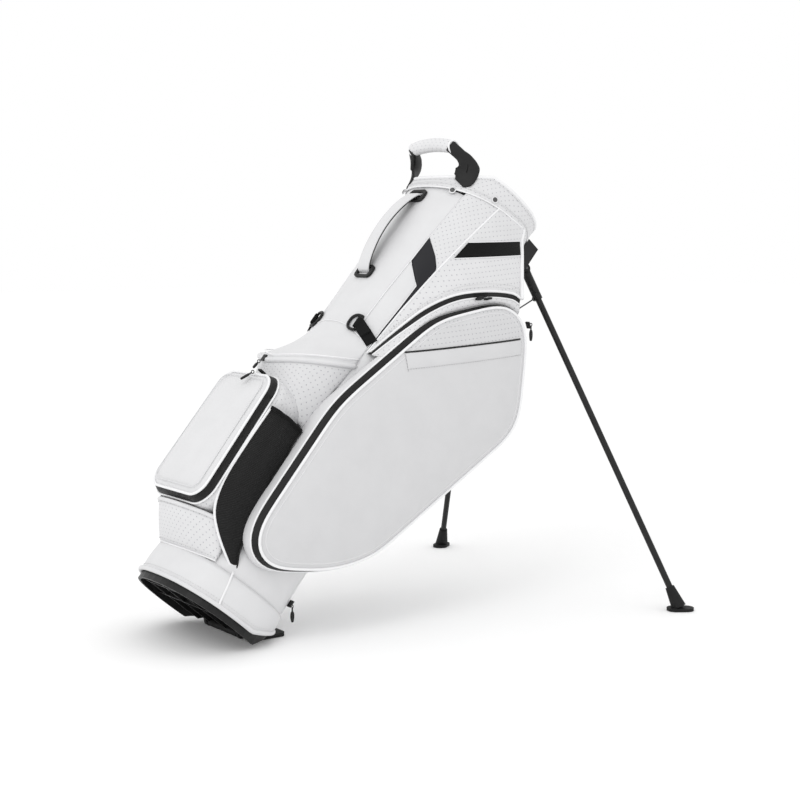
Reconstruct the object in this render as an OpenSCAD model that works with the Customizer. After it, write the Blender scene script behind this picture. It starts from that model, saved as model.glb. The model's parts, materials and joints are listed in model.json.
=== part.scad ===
// Golf stand bag, leaning on its two legs.
// Row frame: +Z up, +X the way the bag leans, -Y the bag's right side, origin on the ground
// under the middle of the whole object.
// Bag frame: z along the bag from its bottom, +x its front (the side the legs are on),
// -x its spine, -y its right side.

/* [Body tube] */
// Lean of the bag from upright, in degrees
lean = 40.7; // [39:0.1:42]
// Half width of the tube, side to side
tube_hw = 115; // [112:1:118]
// Half width of the foot of the tube
base_hw = 125; // [122:1:128]
// Distance from the tube's axis to the spine
spine_d = 104; // [102:1:106]
// Distance from the tube's axis to the front
front_d = 105; // [103:1:106]
// Height of the cuff's rim at the front
rim_front = 915; // [905:1:920]
// Height of the cuff's rim in its dip at the spine
rim_spine = 861; // [858:1:866]
// Thickness of the sewn panels
panel_t = 3; // [2.5:0.5:3.5]

/* [Legs] */
// Length of a leg from its pivot to the ground
leg_len = 669; // [669:1:669]
// Diameter of the leg tube
leg_d = 11.2; // [10:0.1:12]
// Angle that a leg swings out, in degrees
leg_swing = 56.8; // [56.8:0.1:56.8]
// Half distance between the two leg pivots
pivot_w = 68.6; // [68.6:0.1:68.6]
// Radius of the leg's pivot pin
pin_r = 2.5; // [2.5:0.1:2.5]

/* [Leg mechanism] */
// Distance of the wire clip from the leg pivot
clip_at = 54; // [54:1:54]
// Length of a wire link
link_len = 80; // [80:1:80]
// Diameter of the push rod
rod_d = 6; // [5:0.5:6]
// Radial clearance of a shaft in its bore
run_gap = 0.05; // [0.03:0.01:0.08]

/* [Pockets] */
// Outer reach of the side pockets' zips from the middle plane
pocket_w = 148; // [144:1:150]
// How far the side pockets' faces bulge past their zips
pocket_bulge = 20; // [16:1:22]
// Half width of the ball pocket
ball_hw = 85; // [80:1:88]
// Distance of the ball pocket's zip from the tube's axis
ball_d = 168; // [164:1:172]

/* [Hidden] */
// Where the tube's axis meets the bottom, in the row frame
axis_foot_x = -360.9;
axis_foot_z = 39.8;
oval_n = 2.3;
// Height of the moulded base, and of the place where the tube reaches its own width
base_h = 52;
waist_z = 130;
pivot = [127.5, -pivot_w, 844.2];
// Direction of the right leg, standing, in the bag frame
leg_turn = -29.38;
leg_tilt = 180 - leg_swing;
sole = [axis_foot_x + 778.3, -343.4];
slot_p = 14.5;
slot_u = -103.4;
rod_x = 115;
foot_hinge = [axis_foot_x + 51.8, 0, 9];
clear = 0.4;
white = [0.93, 0.93, 0.94];
black = [0.06, 0.06, 0.07];
charcoal = [0.13, 0.13, 0.14];
steel = [0.3, 0.3, 0.32];

// ---- places ----

module bag_frame() {
    translate([axis_foot_x, 0, axis_foot_z]) rotate([0, lean, 0]) children();
}

module both_sides() {
    children();
    mirror([0, 1, 0]) children();
}

// Right leg's own frame: z down the leg, y along its pivot
module leg_frame() {
    bag_frame() translate(pivot) rotate([0, leg_tilt, leg_turn]) children();
}

// Right wire link's own frame: x outward in the leg's plane, y along the pivot, z up the bag
module link_frame() {
    bag_frame() translate(pivot) rotate([0, 0, leg_turn]) children();
}

// ---- shapes ----

function signed_power(x, e) = sign(x) * pow(abs(x), e);
function mix(a, b, k) = a + (b - a) * max(0, min(1, k));
function half_width(z) = mix(base_hw, tube_hw, (z - base_h) / (waist_z - base_h));
function depth(t, z) = cos(t) < 0 ? spine_d : mix(front_d, front_d + 3, (z - 600) / 250);

// A point on the tube, t degrees round from the front (left side at 90)
function tube_point(t, z, off) = [
    (depth(t, z) + off) * signed_power(cos(t), 2 / oval_n),
    (half_width(z) + off) * signed_power(sin(t), 2 / oval_n),
    z];

// Rim and lower edge of the cuff at t degrees: the rim dips at the spine
function from_spine(t) = abs(t - 180 * sign(t + 0.001));
function rim_z(t) = let (s = from_spine(t))
    s < 60 ? mix(rim_spine, 900, pow(s / 60, 2)) : mix(900, rim_front, (s - 60) / 120);
function cuff_low_z(t) = let (s = from_spine(t))
    s < 110 ? mix(838, 872, pow(s / 110, 1.5)) : mix(872, 862, (s - 110) / 70);

// A closed sheet between two grids of points; closed joins its first and last columns
module sheet_solid(outer, inner, closed = false) {
    rows = len(outer);
    cols = len(outer[0]);
    count = rows * cols;
    last = closed ? cols - 1 : cols - 2;
    function o(i, j) = i * cols + j % cols;
    function q(i, j) = count + o(i, j);
    top = rows - 1;
    end = cols - 1;
    faces = concat(
        [for (i = [0 : rows - 2], j = [0 : last])
            each [[o(i, j), o(i + 1, j), o(i + 1, j + 1)], [o(i, j), o(i + 1, j + 1), o(i, j + 1)]]],
        [for (i = [0 : rows - 2], j = [0 : last])
            each [[q(i, j), q(i + 1, j + 1), q(i + 1, j)], [q(i, j), q(i, j + 1), q(i + 1, j + 1)]]],
        [for (j = [0 : last])
            each [[o(0, j), o(0, j + 1), q(0, j + 1)], [o(0, j), q(0, j + 1), q(0, j)]]],
        [for (j = [0 : last])
            each [[o(top, j + 1), o(top, j), q(top, j)], [o(top, j + 1), q(top, j), q(top, j + 1)]]],
        closed ? [] : [for (i = [0 : rows - 2])
            each [[o(i + 1, 0), o(i, 0), q(i, 0)], [o(i + 1, 0), q(i, 0), q(i + 1, 0)]]],
        closed ? [] : [for (i = [0 : rows - 2])
            each [[o(i, end), o(i + 1, end), q(i + 1, end)], [o(i, end), q(i + 1, end), q(i, end)]]]
    );
    polyhedron(
        [for (row = outer) each row, for (row = inner) each row],
        faces);
}

// A curved panel of the tube between angles t0 and t1, with a row of points at each level
module tube_panel(t0, t1, levels, off, thick, cols = 8) {
    function grid(o) = [for (z = levels) [for (j = [0 : cols])
        tube_point(mix(t0, t1, j / cols), z, o)]];
    sheet_solid(grid(off), grid(off - thick));
}

// The tube as a solid, grown by off
module tube_core(off, z0, z1) {
    translate([0, 0, z0]) linear_extrude(z1 - z0)
        polygon([for (t = [0 : 7.5 : 352.5]) let (p = tube_point(t, 400, off)) [p.x, p.y]]);
}

// A straight round bar from a to b
module bar(a, b, r) {
    d = b - a;
    n = norm(d);
    translate(a) rotate([0, acos(d.z / n), atan2(d.y, d.x)]) cylinder(h = n, r = r, $fn = 24);
}

module rounded_slab(x, y, z, r) {
    linear_extrude(z) offset(r = r, $fn = 24) square([x - 2 * r, y - 2 * r], center = true);
}

// ---- base ----

base_wall = 5;
rib_t = 2.5;

module base_outline(off) {
    polygon([for (t = [0 : 7.5 : 352.5]) let (p = tube_point(t, 0, off)) [p.x, p.y]]);
}

// Black moulded foot of the bag: a wall, a floor and ribs under it
module base_shell() {
    difference() {
        linear_extrude(base_h) base_outline(0);
        translate([0, 0, -1]) linear_extrude(base_h - 7) base_outline(-base_wall);
    }
    intersection() {
        translate([0, 0, 7]) linear_extrude(base_h - 14) base_outline(-base_wall - 0.1);
        union() {
            for (y = [-84, -28, 28, 84]) translate([-120, y - rib_t / 2, 0]) cube([240, rib_t, base_h]);
            for (x = [-62, -18]) translate([x, -130, 0]) cube([rib_t, 260, base_h]);
        }
    }
}

module base_tray() {
    ground_gap = 8;
    color(black) difference() {
        union() {
            difference() {
                bag_frame() base_shell();
                translate([-600, -150, -60]) cube([900, 300, 60 + ground_gap]);
            }
            for (y = [-53, 53]) translate(foot_hinge + [0, y, 0]) rotate([90, 0, 0])
                translate([0, 0, -4]) linear_extrude(8) hull() {
                    circle(r = 6.5, $fn = 32);
                    translate([18, 40]) square([16, 2]);
                    translate([-14, 40]) square([16, 2]);
                }
        }
        translate(foot_hinge) rotate([90, 0, 0]) translate([0, 0, -48]) cylinder(h = 96, r = 15, $fn = 32);
        translate(foot_hinge) rotate([90, 0, 0]) translate([0, 0, -60]) cylinder(h = 120, r = pin_r, $fn = 32);
    }
}

module foot_pin() {
    color(steel) translate(foot_hinge) rotate([90, 0, 0]) translate([0, 0, -57])
        cylinder(h = 114, r = pin_r, $fn = 32);
}

module base_foot() {
    plate_x = 64;
    color(black) difference() {
        union() {
            translate([foot_hinge.x + 10 + plate_x / 2, 0, 0]) rounded_slab(plate_x, 152, 6.5, 9);
            translate(foot_hinge + [68, 0, -9]) rounded_slab(22, 18, 6.5, 4);
            translate(foot_hinge) rotate([90, 0, 0]) translate([0, 0, -46]) linear_extrude(92) hull() {
                circle(r = 6, $fn = 32);
                translate([11, -8]) square([1, 6]);
            }
        }
        translate(foot_hinge) rotate([90, 0, 0]) translate([0, 0, -50])
            cylinder(h = 100, r = pin_r + run_gap, $fn = 32);
    }
}

module base_collar() {
    low = 12;
    high = 66;
    function low_z(t) = mix(low, 54, (cos(t) - 0.2) / 0.8);
    function grid(off) = [for (i = [0 : 4]) [for (t = [0 : 7.5 : 352.5])
        tube_point(t, mix(low_z(t), high, i / 4), off)]];
    color(white) bag_frame() sheet_solid(grid(3.4), grid(0.4), true);
}

// ---- body tube ----

seam_front = 38;
seam_spine = 132;
panel_low = base_h + 0.2;
panel_high = 836;
panel_levels = [panel_low, waist_z, 365, 600, panel_high];

module spine_panel() {
    color(white) bag_frame()
        tube_panel(seam_spine + 0.3, 360 - seam_spine - 0.3, panel_levels, 0, panel_t, 14);
}

module side_panel() {
    tube_panel(seam_front + 0.3, seam_spine - 0.3, panel_levels, 0, panel_t, 12);
}

module side_panel_left() {
    color(white) bag_frame() side_panel();
}

module side_panel_right() {
    color(white) bag_frame() mirror([0, 1, 0]) side_panel();
}

module front_panel() {
    color(white) bag_frame()
        tube_panel(-seam_front + 0.3, seam_front - 0.3, panel_levels, 0, panel_t, 12);
}

module top_cuff() {
    function grid(off) = [for (k = [0 : 5]) [for (t = [-180 : 6 : 174])
        tube_point(t, mix(cuff_low_z(t), rim_z(t), k / 5), off)]];
    color(white) bag_frame() sheet_solid(grid(3), grid(-1), true);
}

divider_x = [-32, 34];
bar_t = 6;

module top_divider() {
    wall_low = 838;
    function grid(off) = [for (k = [0, 1]) [for (t = [-180 : 6 : 174])
        tube_point(t, k == 0 ? wall_low : rim_z(t) - 3, off)]];
    color(black) bag_frame() {
        sheet_solid(grid(-1.3), grid(-6), true);
        intersection() {
            tube_core(-5.6, 800, 900);
            translate([0, 0, wall_low]) union() {
                for (x = divider_x) translate([x - bar_t / 2, -130, 0]) cube([bar_t, 260, 46]);
                translate([divider_x[0], -bar_t / 2, 0]) cube([150, bar_t, 46]);
            }
        }
    }
}

// Full-length sheets under the divider's bars, each its own piece
module club_dividers() {
    sheet_t = 1.2;
    gap = 0.3;
    color(black) bag_frame() intersection() {
        tube_core(-panel_t - 1, panel_low + 2, 837.7);
        union() {
            for (x = divider_x) translate([x - sheet_t / 2, -130, 0]) cube([sheet_t, 260, 837.7]);
            for (span = [[divider_x[0], divider_x[1]], [divider_x[1], 150]])
                translate([span[0] + sheet_t / 2 + gap, -sheet_t / 2, 0])
                    cube([span[1] - span[0] - sheet_t - 2 * gap, sheet_t, 837.7]);
        }
    }
}

module stay_rods() {
    stay_r = 3;
    color(charcoal) bag_frame() for (t = [55, 118, 242, 305]) {
        p = tube_point(t, 200, -panel_t - stay_r - 4);
        translate([p.x, p.y, panel_low + 1]) cylinder(h = 780, r = stay_r, $fn = 24);
    }
}

module side_bands() {
    color(black) bag_frame() both_sides()
        tube_panel(60, 107, [784, 808], 1.8, 1.4);
}

// Dark stripe along the seam, wide at its top and tapering to a point
module accent_stripes() {
    rows = 4;
    cols = 6;
    tip = 0.98;
    function grid(off) = [for (i = [0 : rows]) let (k = tip * i / rows) [for (j = [0 : cols])
        tube_point(mix(mix(117, 127, k), mix(140, 127, k), j / cols),
            mix(mix(700, 520, k), mix(740, 520, k), j / cols), off)]];
    color(charcoal) bag_frame() both_sides() sheet_solid(grid(2.8), grid(1.2));
}

// ---- handles ----

grip_at = [-146, 909];
grip_hw = 58;

// A bar with round ends through a list of points
module round_bar(points, r) {
    for (i = [0 : len(points) - 2]) hull() {
        translate(points[i]) sphere(r = r, $fn = 24);
        translate(points[i + 1]) sphere(r = r, $fn = 24);
    }
}

module lift_handle_frame() {
    color(black) bag_frame() {
        both_sides() {
            round_bar([[-98, -88, 872], [-136, -84, 890], [-146, -68, 909]], 8);
            difference() {
                hull() {
                    translate([-106, -66, 855]) cube([6, 30, 8]);
                    translate([-92, -88, 858]) cube([10, 12, 26]);
                }
                tube_core(3.4, 800, 930);
            }
        }
        translate([grip_at.x, -68, grip_at.y]) rotate([-90, 0, 0]) cylinder(h = 136, r = 5, $fn = 24);
    }
}

module lift_handle_grip() {
    color(white) bag_frame() translate([grip_at.x, -grip_hw, grip_at.y]) rotate([-90, 0, 0]) difference() {
        cylinder(h = 2 * grip_hw, r = 13.5, $fn = 32);
        translate([0, 0, -1]) cylinder(h = 2 * grip_hw + 2, r = 5.1, $fn = 32);
    }
}

handle_low = 644;
handle_high = 817;
handle_hw = 14;

module grab_handle() {
    arch = 20;
    rows = 16;
    function x_at(k) = -spine_d - 1.2 - arch * pow(sin(180 * k), 0.7);
    function grid(out) = [for (i = [0 : rows]) let (k = i / rows) [for (s = [1, -1])
        [x_at(k) - out, s * handle_hw, mix(handle_low + 3, handle_high - 3, k) - out * 0.5 * cos(180 * k)]]];
    color(white) bag_frame() sheet_solid(grid(6), grid(0));
}

module grab_handle_trims() {
    color(black) bag_frame() for (z = [handle_low, handle_high]) difference() {
        translate([-spine_d - 4.5, 0, z]) rotate([0, 90, 0]) rounded_slab(26, 46, 4.2, 9);
        translate([-spine_d - 6, 0, z]) rotate([0, 90, 0]) rounded_slab(16, 34, 8, 5);
    }
}

module cuff_rivets() {
    rivet_r = 4;
    color(black) bag_frame() for (t = [147, 107, 213, 253]) {
        p = tube_point(t, 850, 3.7);
        translate([p.x, p.y, cuff_low_z(t) + 6]) rotate([0, 90, atan2(p.y, p.x)])
            cylinder(h = 2, r1 = rivet_r, r2 = rivet_r - 1, $fn = 24);
    }
}

// ---- legs ----

bracket_x = 117.5;
ear_in = 6.9;
ear_t = 4.5;

module leg_bracket() {
    color(black) difference() {
        union() {
            bag_frame() difference() {
                translate([70, -84, 838]) cube([bracket_x - 70, 168, 46]);
                tube_core(6.9, 800, 930);
                for (y = [-54, -20, 14]) translate([60, y, 843]) cube([52, 40 - 6, 36]);
            }
            both_sides() link_frame() for (y = [ear_in, -ear_in - ear_t]) translate([0, y, 0])
                rotate([-90, 0, 0]) linear_extrude(ear_t) hull() {
                    circle(r = 7, $fn = 32);
                    translate([-17, -14]) square([2, 26]);
                }
        }
        both_sides() link_frame() rotate([90, 0, 0]) translate([0, 0, -20]) cylinder(h = 40, r = pin_r, $fn = 32);
        both_sides() link_frame() rotate([90, 0, 0]) translate([0, 0, -ear_in]) cylinder(h = 2 * ear_in, r = 9.6, $fn = 32);
    }
}

module leg_pins() {
    color(steel) both_sides() link_frame() rotate([90, 0, 0]) translate([0, 0, -12.5])
        cylinder(h = 25, r = pin_r, $fn = 32);
}

knuckle_r = 8.6;
sleeve_low = 47;

module leg_tube() {
    color(charcoal) leg_frame() translate([0, 0, 12]) difference() {
        cylinder(h = leg_len - 30, r = leg_d / 2, $fn = 40);
        translate([0, 0, -1]) cylinder(h = leg_len - 28, r = leg_d / 2 - 1.2, $fn = 40);
    }
}

module leg_knuckle() {
    color(black) leg_frame() difference() {
        union() {
            rotate([90, 0, 0]) translate([0, 0, -6.4]) cylinder(h = 12.8, r = knuckle_r, $fn = 40);
            cylinder(h = sleeve_low, r = knuckle_r - 0.4, $fn = 40);
        }
        rotate([90, 0, 0]) translate([0, 0, -12]) cylinder(h = 24, r = pin_r + run_gap, $fn = 32);
        for (y = [6.4, -20]) translate([-10, y, -10]) cube([20, 13.6, 20]);
        translate([0, 0, 12]) cylinder(h = 60, r = leg_d / 2, $fn = 40);
    }
}

boot_top = 44;
sole_h = 5;

module leg_boot() {
    foot_end = leg_len - 18;
    color(black) union() {
        difference() {
            leg_frame() translate([0, 0, leg_len - boot_top]) difference() {
                cylinder(h = boot_top - 5, r1 = leg_d / 2 + 2.4, r2 = 13, $fn = 40);
                translate([0, 0, -1]) cylinder(h = boot_top - 17, r = leg_d / 2, $fn = 40);
            }
            translate([200, -500, -30]) cube([400, 1000, 30 + sole_h - 1]);
        }
        translate([sole.x, sole.y, 0]) rotate([0, 0, -35]) linear_extrude(sole_h) hull() {
            translate([9, 0]) circle(r = 15, $fn = 32);
            translate([-9, 0]) circle(r = 15, $fn = 32);
        }
    }
}

module wire_clip() {
    color(black) leg_frame() difference() {
        union() {
            translate([0, 0, clip_at - 6]) cylinder(h = 12, r = knuckle_r - 0.4, $fn = 40);
            translate([0, 0, clip_at]) rotate([-90, 0, 0]) cylinder(h = 12.4, r = pin_r, $fn = 32);
            translate([0, 12.4, clip_at]) rotate([-90, 0, 0]) cylinder(h = 3, r = 5, $fn = 32);
        }
        translate([0, 0, clip_at - 8]) cylinder(h = 16, r = leg_d / 2, $fn = 40);
    }
}

// Angle of the wire link from straight down the bag, at rest
link_rest = asin((clip_at * sin(leg_swing) - slot_p) / link_len);
wire_r = 1.5;

module push_link() {
    clip_pos = [clip_at * sin(leg_swing), 0, -clip_at * cos(leg_swing)];
    color(steel) link_frame() translate(clip_pos) rotate([0, link_rest, 0]) difference() {
        union() {
            translate([0, 10.4, 0]) rotate([90, 0, 0]) cylinder(h = 2.8, r = 4.2, center = true, $fn = 32);
            translate([0, 10.4, -link_len]) cylinder(h = link_len, r = wire_r - 0.2, $fn = 24);
            translate([0, 10.4 - wire_r, -link_len]) rotate([-90, 0, 0]) cylinder(h = 9 + wire_r, r = wire_r, $fn = 24);
        }
        translate([0, 10.4, 0]) rotate([90, 0, 0]) cylinder(h = 6, r = pin_r + run_gap, center = true, $fn = 32);
    }
}

rod_low = 61;
fork_z = 704;

module push_rod() {
    color(steel) {
        bag_frame() translate([rod_x, 0, rod_low]) cylinder(h = fork_z - rod_low, r = rod_d / 2, $fn = 32);
        bag_frame() translate([rod_x, 0, fork_z]) sphere(r = rod_d / 2, $fn = 32);
        both_sides() {
            link_frame() translate([slot_p, 14.2, slot_u]) rotate([-90, 0, 0]) linear_extrude(3) difference() {
                hull() {
                    translate([1, 11]) circle(r = 7.5, $fn = 32);
                    translate([1, -1]) circle(r = 7.5, $fn = 32);
                }
                hull() {
                    translate([1, 10.5]) circle(r = 4.2, $fn = 32);
                    translate([1, -0.5]) circle(r = 4.2, $fn = 32);
                }
            }
            bag_frame() bar([rod_x, 0, fork_z], [140.5, -58.4, 735], 2.5);
        }
    }
}

module rod_guides() {
    color(black) bag_frame() for (z = [150, 400, 650]) difference() {
        translate([front_d - 6, -13, z - 8]) cube([22, 26, 16]);
        tube_core(4, 0, 900);
        translate([rod_x, 0, z - 20]) cylinder(h = 40, r = rod_d / 2 + run_gap, $fn = 32);
    }
}

// ---- shoulder strap rings ----

ring_r = 13;
ring_wire = 2;
ring_at = tube_point(211, 541, 5.6);
ring_turn = -60;

module ring_frame() {
    bag_frame() translate(ring_at) rotate([0, 0, ring_turn]) children();
}

// Right D ring: its straight bar lies along the bag, its bow toward the spine's middle
module d_ring() {
    color(black) ring_frame() {
        translate([0, 0, -ring_r - 1]) cylinder(h = 2 * ring_r + 2, r = ring_wire, $fn = 24);
        for (s = [-1, 1]) translate([0, 0, s * ring_r]) rotate([0, -90, 0]) cylinder(h = 8, r = ring_wire, $fn = 24);
        for (s = [-1, 1]) translate([0, 0, s * (ring_r + 1)]) sphere(r = ring_wire, $fn = 24);
        translate([-8, 0, 0]) rotate([90, 0, 0]) rotate([0, 0, 90])
            rotate_extrude(angle = 180, $fn = 48) translate([ring_r, 0]) circle(r = ring_wire, $fn = 24);
    }
}

module d_ring_webbing() {
    color(black) both_sides() ring_frame() difference() {
        union() {
            translate([0, 0, -10]) cylinder(h = 20, r = 3.6, $fn = 32);
            translate([0, 1, -10]) cube([24, 2.6, 20]);
        }
        translate([0, 0, -12]) cylinder(h = 24, r = ring_wire + run_gap, $fn = 32);
    }
}

// ---- side pockets ----

// Middle and radius of the side pocket's upper front corner
pocket_corner = [109, 673];
corner_r = 66;

// Outline of a side pocket's zip, seen from the side: x is the bag's front, y is up the bag
module pocket_outline(grow) {
    offset(r = grow, $fn = 32) hull() {
        translate([-38, 152]) circle(r = 52, $fn = 32);
        translate([44, 203]) circle(r = 52, $fn = 32);
        translate([97, 248]) circle(r = 43, $fn = 32);
        translate([16, 370]) circle(r = 108, $fn = 32);
        translate([23, 588]) circle(r = 54, $fn = 32);
        translate(pocket_corner) circle(r = corner_r, $fn = 32);
        translate([185, 572]) circle(r = 60, $fn = 32);
    }
}

// A slice of a side pocket from w0 to w1 out from the middle plane
module pocket_slice(w0, w1, grow) {
    rotate([90, 0, 0]) translate([0, 0, w0]) linear_extrude(w1 - w0) pocket_outline(grow);
}

// The room a leg needs as it swings past the pocket
module leg_room(extra) {
    rotate([90, 0, 0]) translate([0, 0, 0]) rotate([-90, 0, 0]) linear_extrude(900)
        polygon([[112, 0], [112, -84 - extra], [130, -84 - extra], [260, -157 - extra], [330, 0]]);
}

module apparel_gusset() {
    color(white) bag_frame() difference() {
        union() {
            difference() {
                pocket_slice(62, pocket_w - 2.2, 0);
                pocket_slice(60, pocket_w, -panel_t);
                leg_room(0);
            }
            difference() {
                intersection() {
                    pocket_slice(62, pocket_w - 2.2, 0);
                    leg_room(panel_t);
                }
                leg_room(0);
            }
        }
        tube_core(2.2, 0, 900);
        // The tube widens toward its foot here
        tube_core(6.2, 0, 118);
        ball_slice(80, 200, clear);
    }
}

module apparel_zip() {
    color(black) bag_frame() difference() {
        pocket_slice(pocket_w - 2, pocket_w + 2, 1);
        pocket_slice(pocket_w - 3, pocket_w + 3, -5);
    }
}

module apparel_face() {
    function up(k) = pocket_w + 2.2 + pocket_bulge * k;
    color(white) bag_frame() difference() {
        hull() {
            pocket_slice(up(0), up(0) + 1, 0);
            pocket_slice(up(0.7), up(0.7) + 1, -16);
            pocket_slice(up(1) - 1, up(1), -38);
        }
        hull() {
            pocket_slice(up(0) - 1, up(0), -panel_t);
            pocket_slice(up(0.7) - 3, up(0.7) - 2, -18);
            pocket_slice(up(1) - 5, up(1) - panel_t, -40);
        }
    }
}

module shoulder_panel() {
    rows = 6;
    function inner_edge(k) = tube_point(mix(246, 312, k), mix(740, 776, k), 3.8);
    function outer_edge(k) = [mix(-52, 128, k), -pocket_w + 6 + 22 * pow(2 * k - 1, 2), mix(612, 716, pow(k, 0.7))];
    function grid(t) = [for (i = [0 : rows]) [for (j = [0 : rows])
        let (a = outer_edge(j / rows), b = inner_edge(j / rows), k = i / rows)
        a + (b - a) * k + [0, -6 * sin(180 * k) + t, 0]]];
    color(white) bag_frame() difference() {
        sheet_solid(grid(0), grid(panel_t));
        pocket_slice(50, pocket_w + 4, 1.4);
    }
}

module apparel_gusset_right() { apparel_gusset(); }
module apparel_gusset_left() { mirror([0, 1, 0]) apparel_gusset(); }
module apparel_zip_right() { apparel_zip(); }
module apparel_zip_left() { mirror([0, 1, 0]) apparel_zip(); }
module apparel_face_right() { apparel_face(); }
module apparel_face_left() { mirror([0, 1, 0]) apparel_face(); }
module shoulder_panel_right() { shoulder_panel(); }
module shoulder_panel_left() { mirror([0, 1, 0]) shoulder_panel(); }

// ---- spine pockets ----

ball_low = 138;
ball_high = 374;

// Outline of the ball pocket seen from the spine, grown by grow
module ball_outline(grow) {
    r = 30;
    offset(r = grow + r, $fn = 32) translate([ball_low + r, -ball_hw + r])
        square([ball_high - ball_low - 2 * r, 2 * ball_hw - 2 * r]);
}

// A slice of the ball pocket from d0 to d1 out from the tube's axis
module ball_slice(d0, d1, grow) {
    rotate([0, -90, 0]) translate([0, 0, d0]) linear_extrude(d1 - d0) ball_outline(grow);
}

module ball_gusset() {
    color(black) bag_frame() difference() {
        ball_slice(88, ball_d - 2.2, 0);
        ball_slice(80, ball_d, -panel_t);
        tube_core(0.6, 0, 900);
    }
}

module ball_zip() {
    color(black) bag_frame() difference() {
        ball_slice(ball_d - 2, ball_d + 2, 1);
        ball_slice(ball_d - 3, ball_d + 3, -5);
    }
}

module ball_face() {
    color(white) bag_frame() difference() {
        hull() {
            ball_slice(ball_d + 2.2, ball_d + 3.2, 0);
            ball_slice(ball_d + 12, ball_d + 13, -14);
            ball_slice(ball_d + 15, ball_d + 16, -28);
        }
        hull() {
            ball_slice(ball_d + 1, ball_d + 2.2, -panel_t);
            ball_slice(ball_d + 9, ball_d + 10, -16);
            ball_slice(ball_d + 12, ball_d + 13, -30);
        }
    }
}

module valuables_pocket() {
    module wedge(in) {
        hull() {
            translate([-spine_d - 6 + in, -52 + in, 526 - in]) cube([6, 104 - 2 * in, 2]);
            translate([-158 + in, -80 + in, 384]) cube([58, 160 - 2 * in, 14 + in]);
            translate([-164 + in, -62 + in, 384]) cube([60, 124 - 2 * in, 22 - in]);
        }
    }
    color(white) bag_frame() difference() {
        wedge(0);
        translate([0, 0, -0.01]) difference() {
            wedge(panel_t);
            translate([-200, -100, 380]) cube([120, 200, 4 + panel_t]);
        }
        tube_core(0.6, 0, 900);
    }
}

function between(a, b, k) = a + (b - a) * max(0, min(1, k));

// Open pocket: a sheet across the recess between the ball pocket and a side pocket
module mesh_pocket() {
    low = 84;
    rows = 7;
    cols = 6;
    function spine_edge(z) = between(tube_point(230, z, 3.5), [-134, -87, z], (z - low) / 50);
    function side_edge(z) = between(tube_point(242, z, 3.5), [-97, -121, z], (z - low) / 55);
    function top_z(k) = mix(338, 322, k);
    function grid(thin) = [for (i = [0 : rows]) [for (j = [0 : cols])
        let (k = j / cols, z = mix(low, top_z(k), i / rows), swell = 7 * sin(180 * k) * sin(90 * i / rows) - thin)
        between(spine_edge(z), side_edge(z), k) + swell * [-0.7, -0.7, 0]]];
    color(black) bag_frame() sheet_solid(grid(0), grid(1.4));
}

module mesh_pocket_right() { mesh_pocket(); }
module mesh_pocket_left() { mirror([0, 1, 0]) mesh_pocket(); }

module sleeve_pocket() {
    low = 68;
    high = 127;
    half_turn = 40;
    rows = 4;
    cols = 14;
    function swell(a, k) = 4 + 42 * pow(cos(a * 90 / half_turn), 0.6) * pow(k, 0.7);
    function grid(thin) = [for (i = [0 : rows]) [for (j = [0 : cols])
        let (a = mix(-half_turn, half_turn, j / cols) * 0.999, k = i / rows)
        tube_point(180 + a, mix(low, high, k), swell(a, k) - thin)]];
    color(white) bag_frame() sheet_solid(grid(0), grid(2.4));
}

// ---- zip sliders and pulls ----

// A pull's own frame: hinge along y, z up its length from the free end
apparel_slider = [43.3, -pocket_w, 708.7];
apparel_slope = 39.6;
cord_turn = 60;
cord_reach = corner_r + 1.4;
cord_slider = [pocket_corner[0] + cord_reach * cos(cord_turn), -pocket_w,
    pocket_corner[1] + cord_reach * sin(cord_turn)];
cord_slope = 180 - cord_turn;
ball_slider = [-ball_d, -18, ball_high + 1.4];
ball_hinge = [-ball_d - 13, -18, 368];
valuables_slider = [-163, 8, 400];
base_slider = [86, -84, 96];

module slider() {
    hull() {
        translate([-3.5, -4.5, -6]) cube([3, 9, 12]);
        translate([-1, -3, -4]) cube([1, 6, 8]);
    }
}

module zip_sliders() {
    color(black) {
        both_sides() bag_frame() {
            translate(apparel_slider) rotate([0, apparel_slope, 0]) slider();
            translate(cord_slider) rotate([0, cord_slope, 0]) slider();
        }
        bag_frame() {
            translate(ball_slider) rotate([0, 90, 0]) slider();
            translate(valuables_slider + [-1, 0, 6]) slider();
            translate(base_slider) rotate([0, 180, 0]) slider();
        }
    }
}

// A hanging tab of that length from its hinge at the origin
module pull_tab(length, r) {
    color(black) {
        rotate([0, 90, 0]) cylinder(h = 5, r = r, center = true, $fn = 24);
        translate([0, 0, -length]) cylinder(h = length, r = r, $fn = 24);
        translate([0, 0, -length]) sphere(r = r * 1.25, $fn = 24);
    }
}

module apparel_pull_right() {
    bag_frame() translate(apparel_slider) rotate([0, apparel_slope, 0]) translate([-6.5, 0, 0])
        rotate([0, 0, 90]) pull_tab(26, 2);
}
module apparel_pull_left() { mirror([0, 1, 0]) apparel_pull_right(); }
module apparel_cord_right() {
    bag_frame() translate(cord_slider) rotate([0, cord_slope, 0]) translate([-9, 0, 0])
        rotate([0, -cord_slope - lean, 0]) rotate([0, 0, 90]) pull_tab(30, 2);
}
module apparel_cord_left() { mirror([0, 1, 0]) apparel_cord_right(); }
module ball_pull() {
    bag_frame() translate(ball_hinge) rotate([0, 25, 0]) rotate([0, 0, 90]) pull_tab(26, 2);
}
module valuables_pull() {
    bag_frame() translate(valuables_slider + [-7, 0, -3]) rotate([0, 6, 0]) rotate([0, 0, 90]) pull_tab(16, 2);
}
module base_pull() {
    bag_frame() translate(base_slider + [6.5, 0, 0]) rotate([0, -lean, 0]) rotate([0, 0, 90]) pull_tab(28, 2.2);
}

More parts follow.
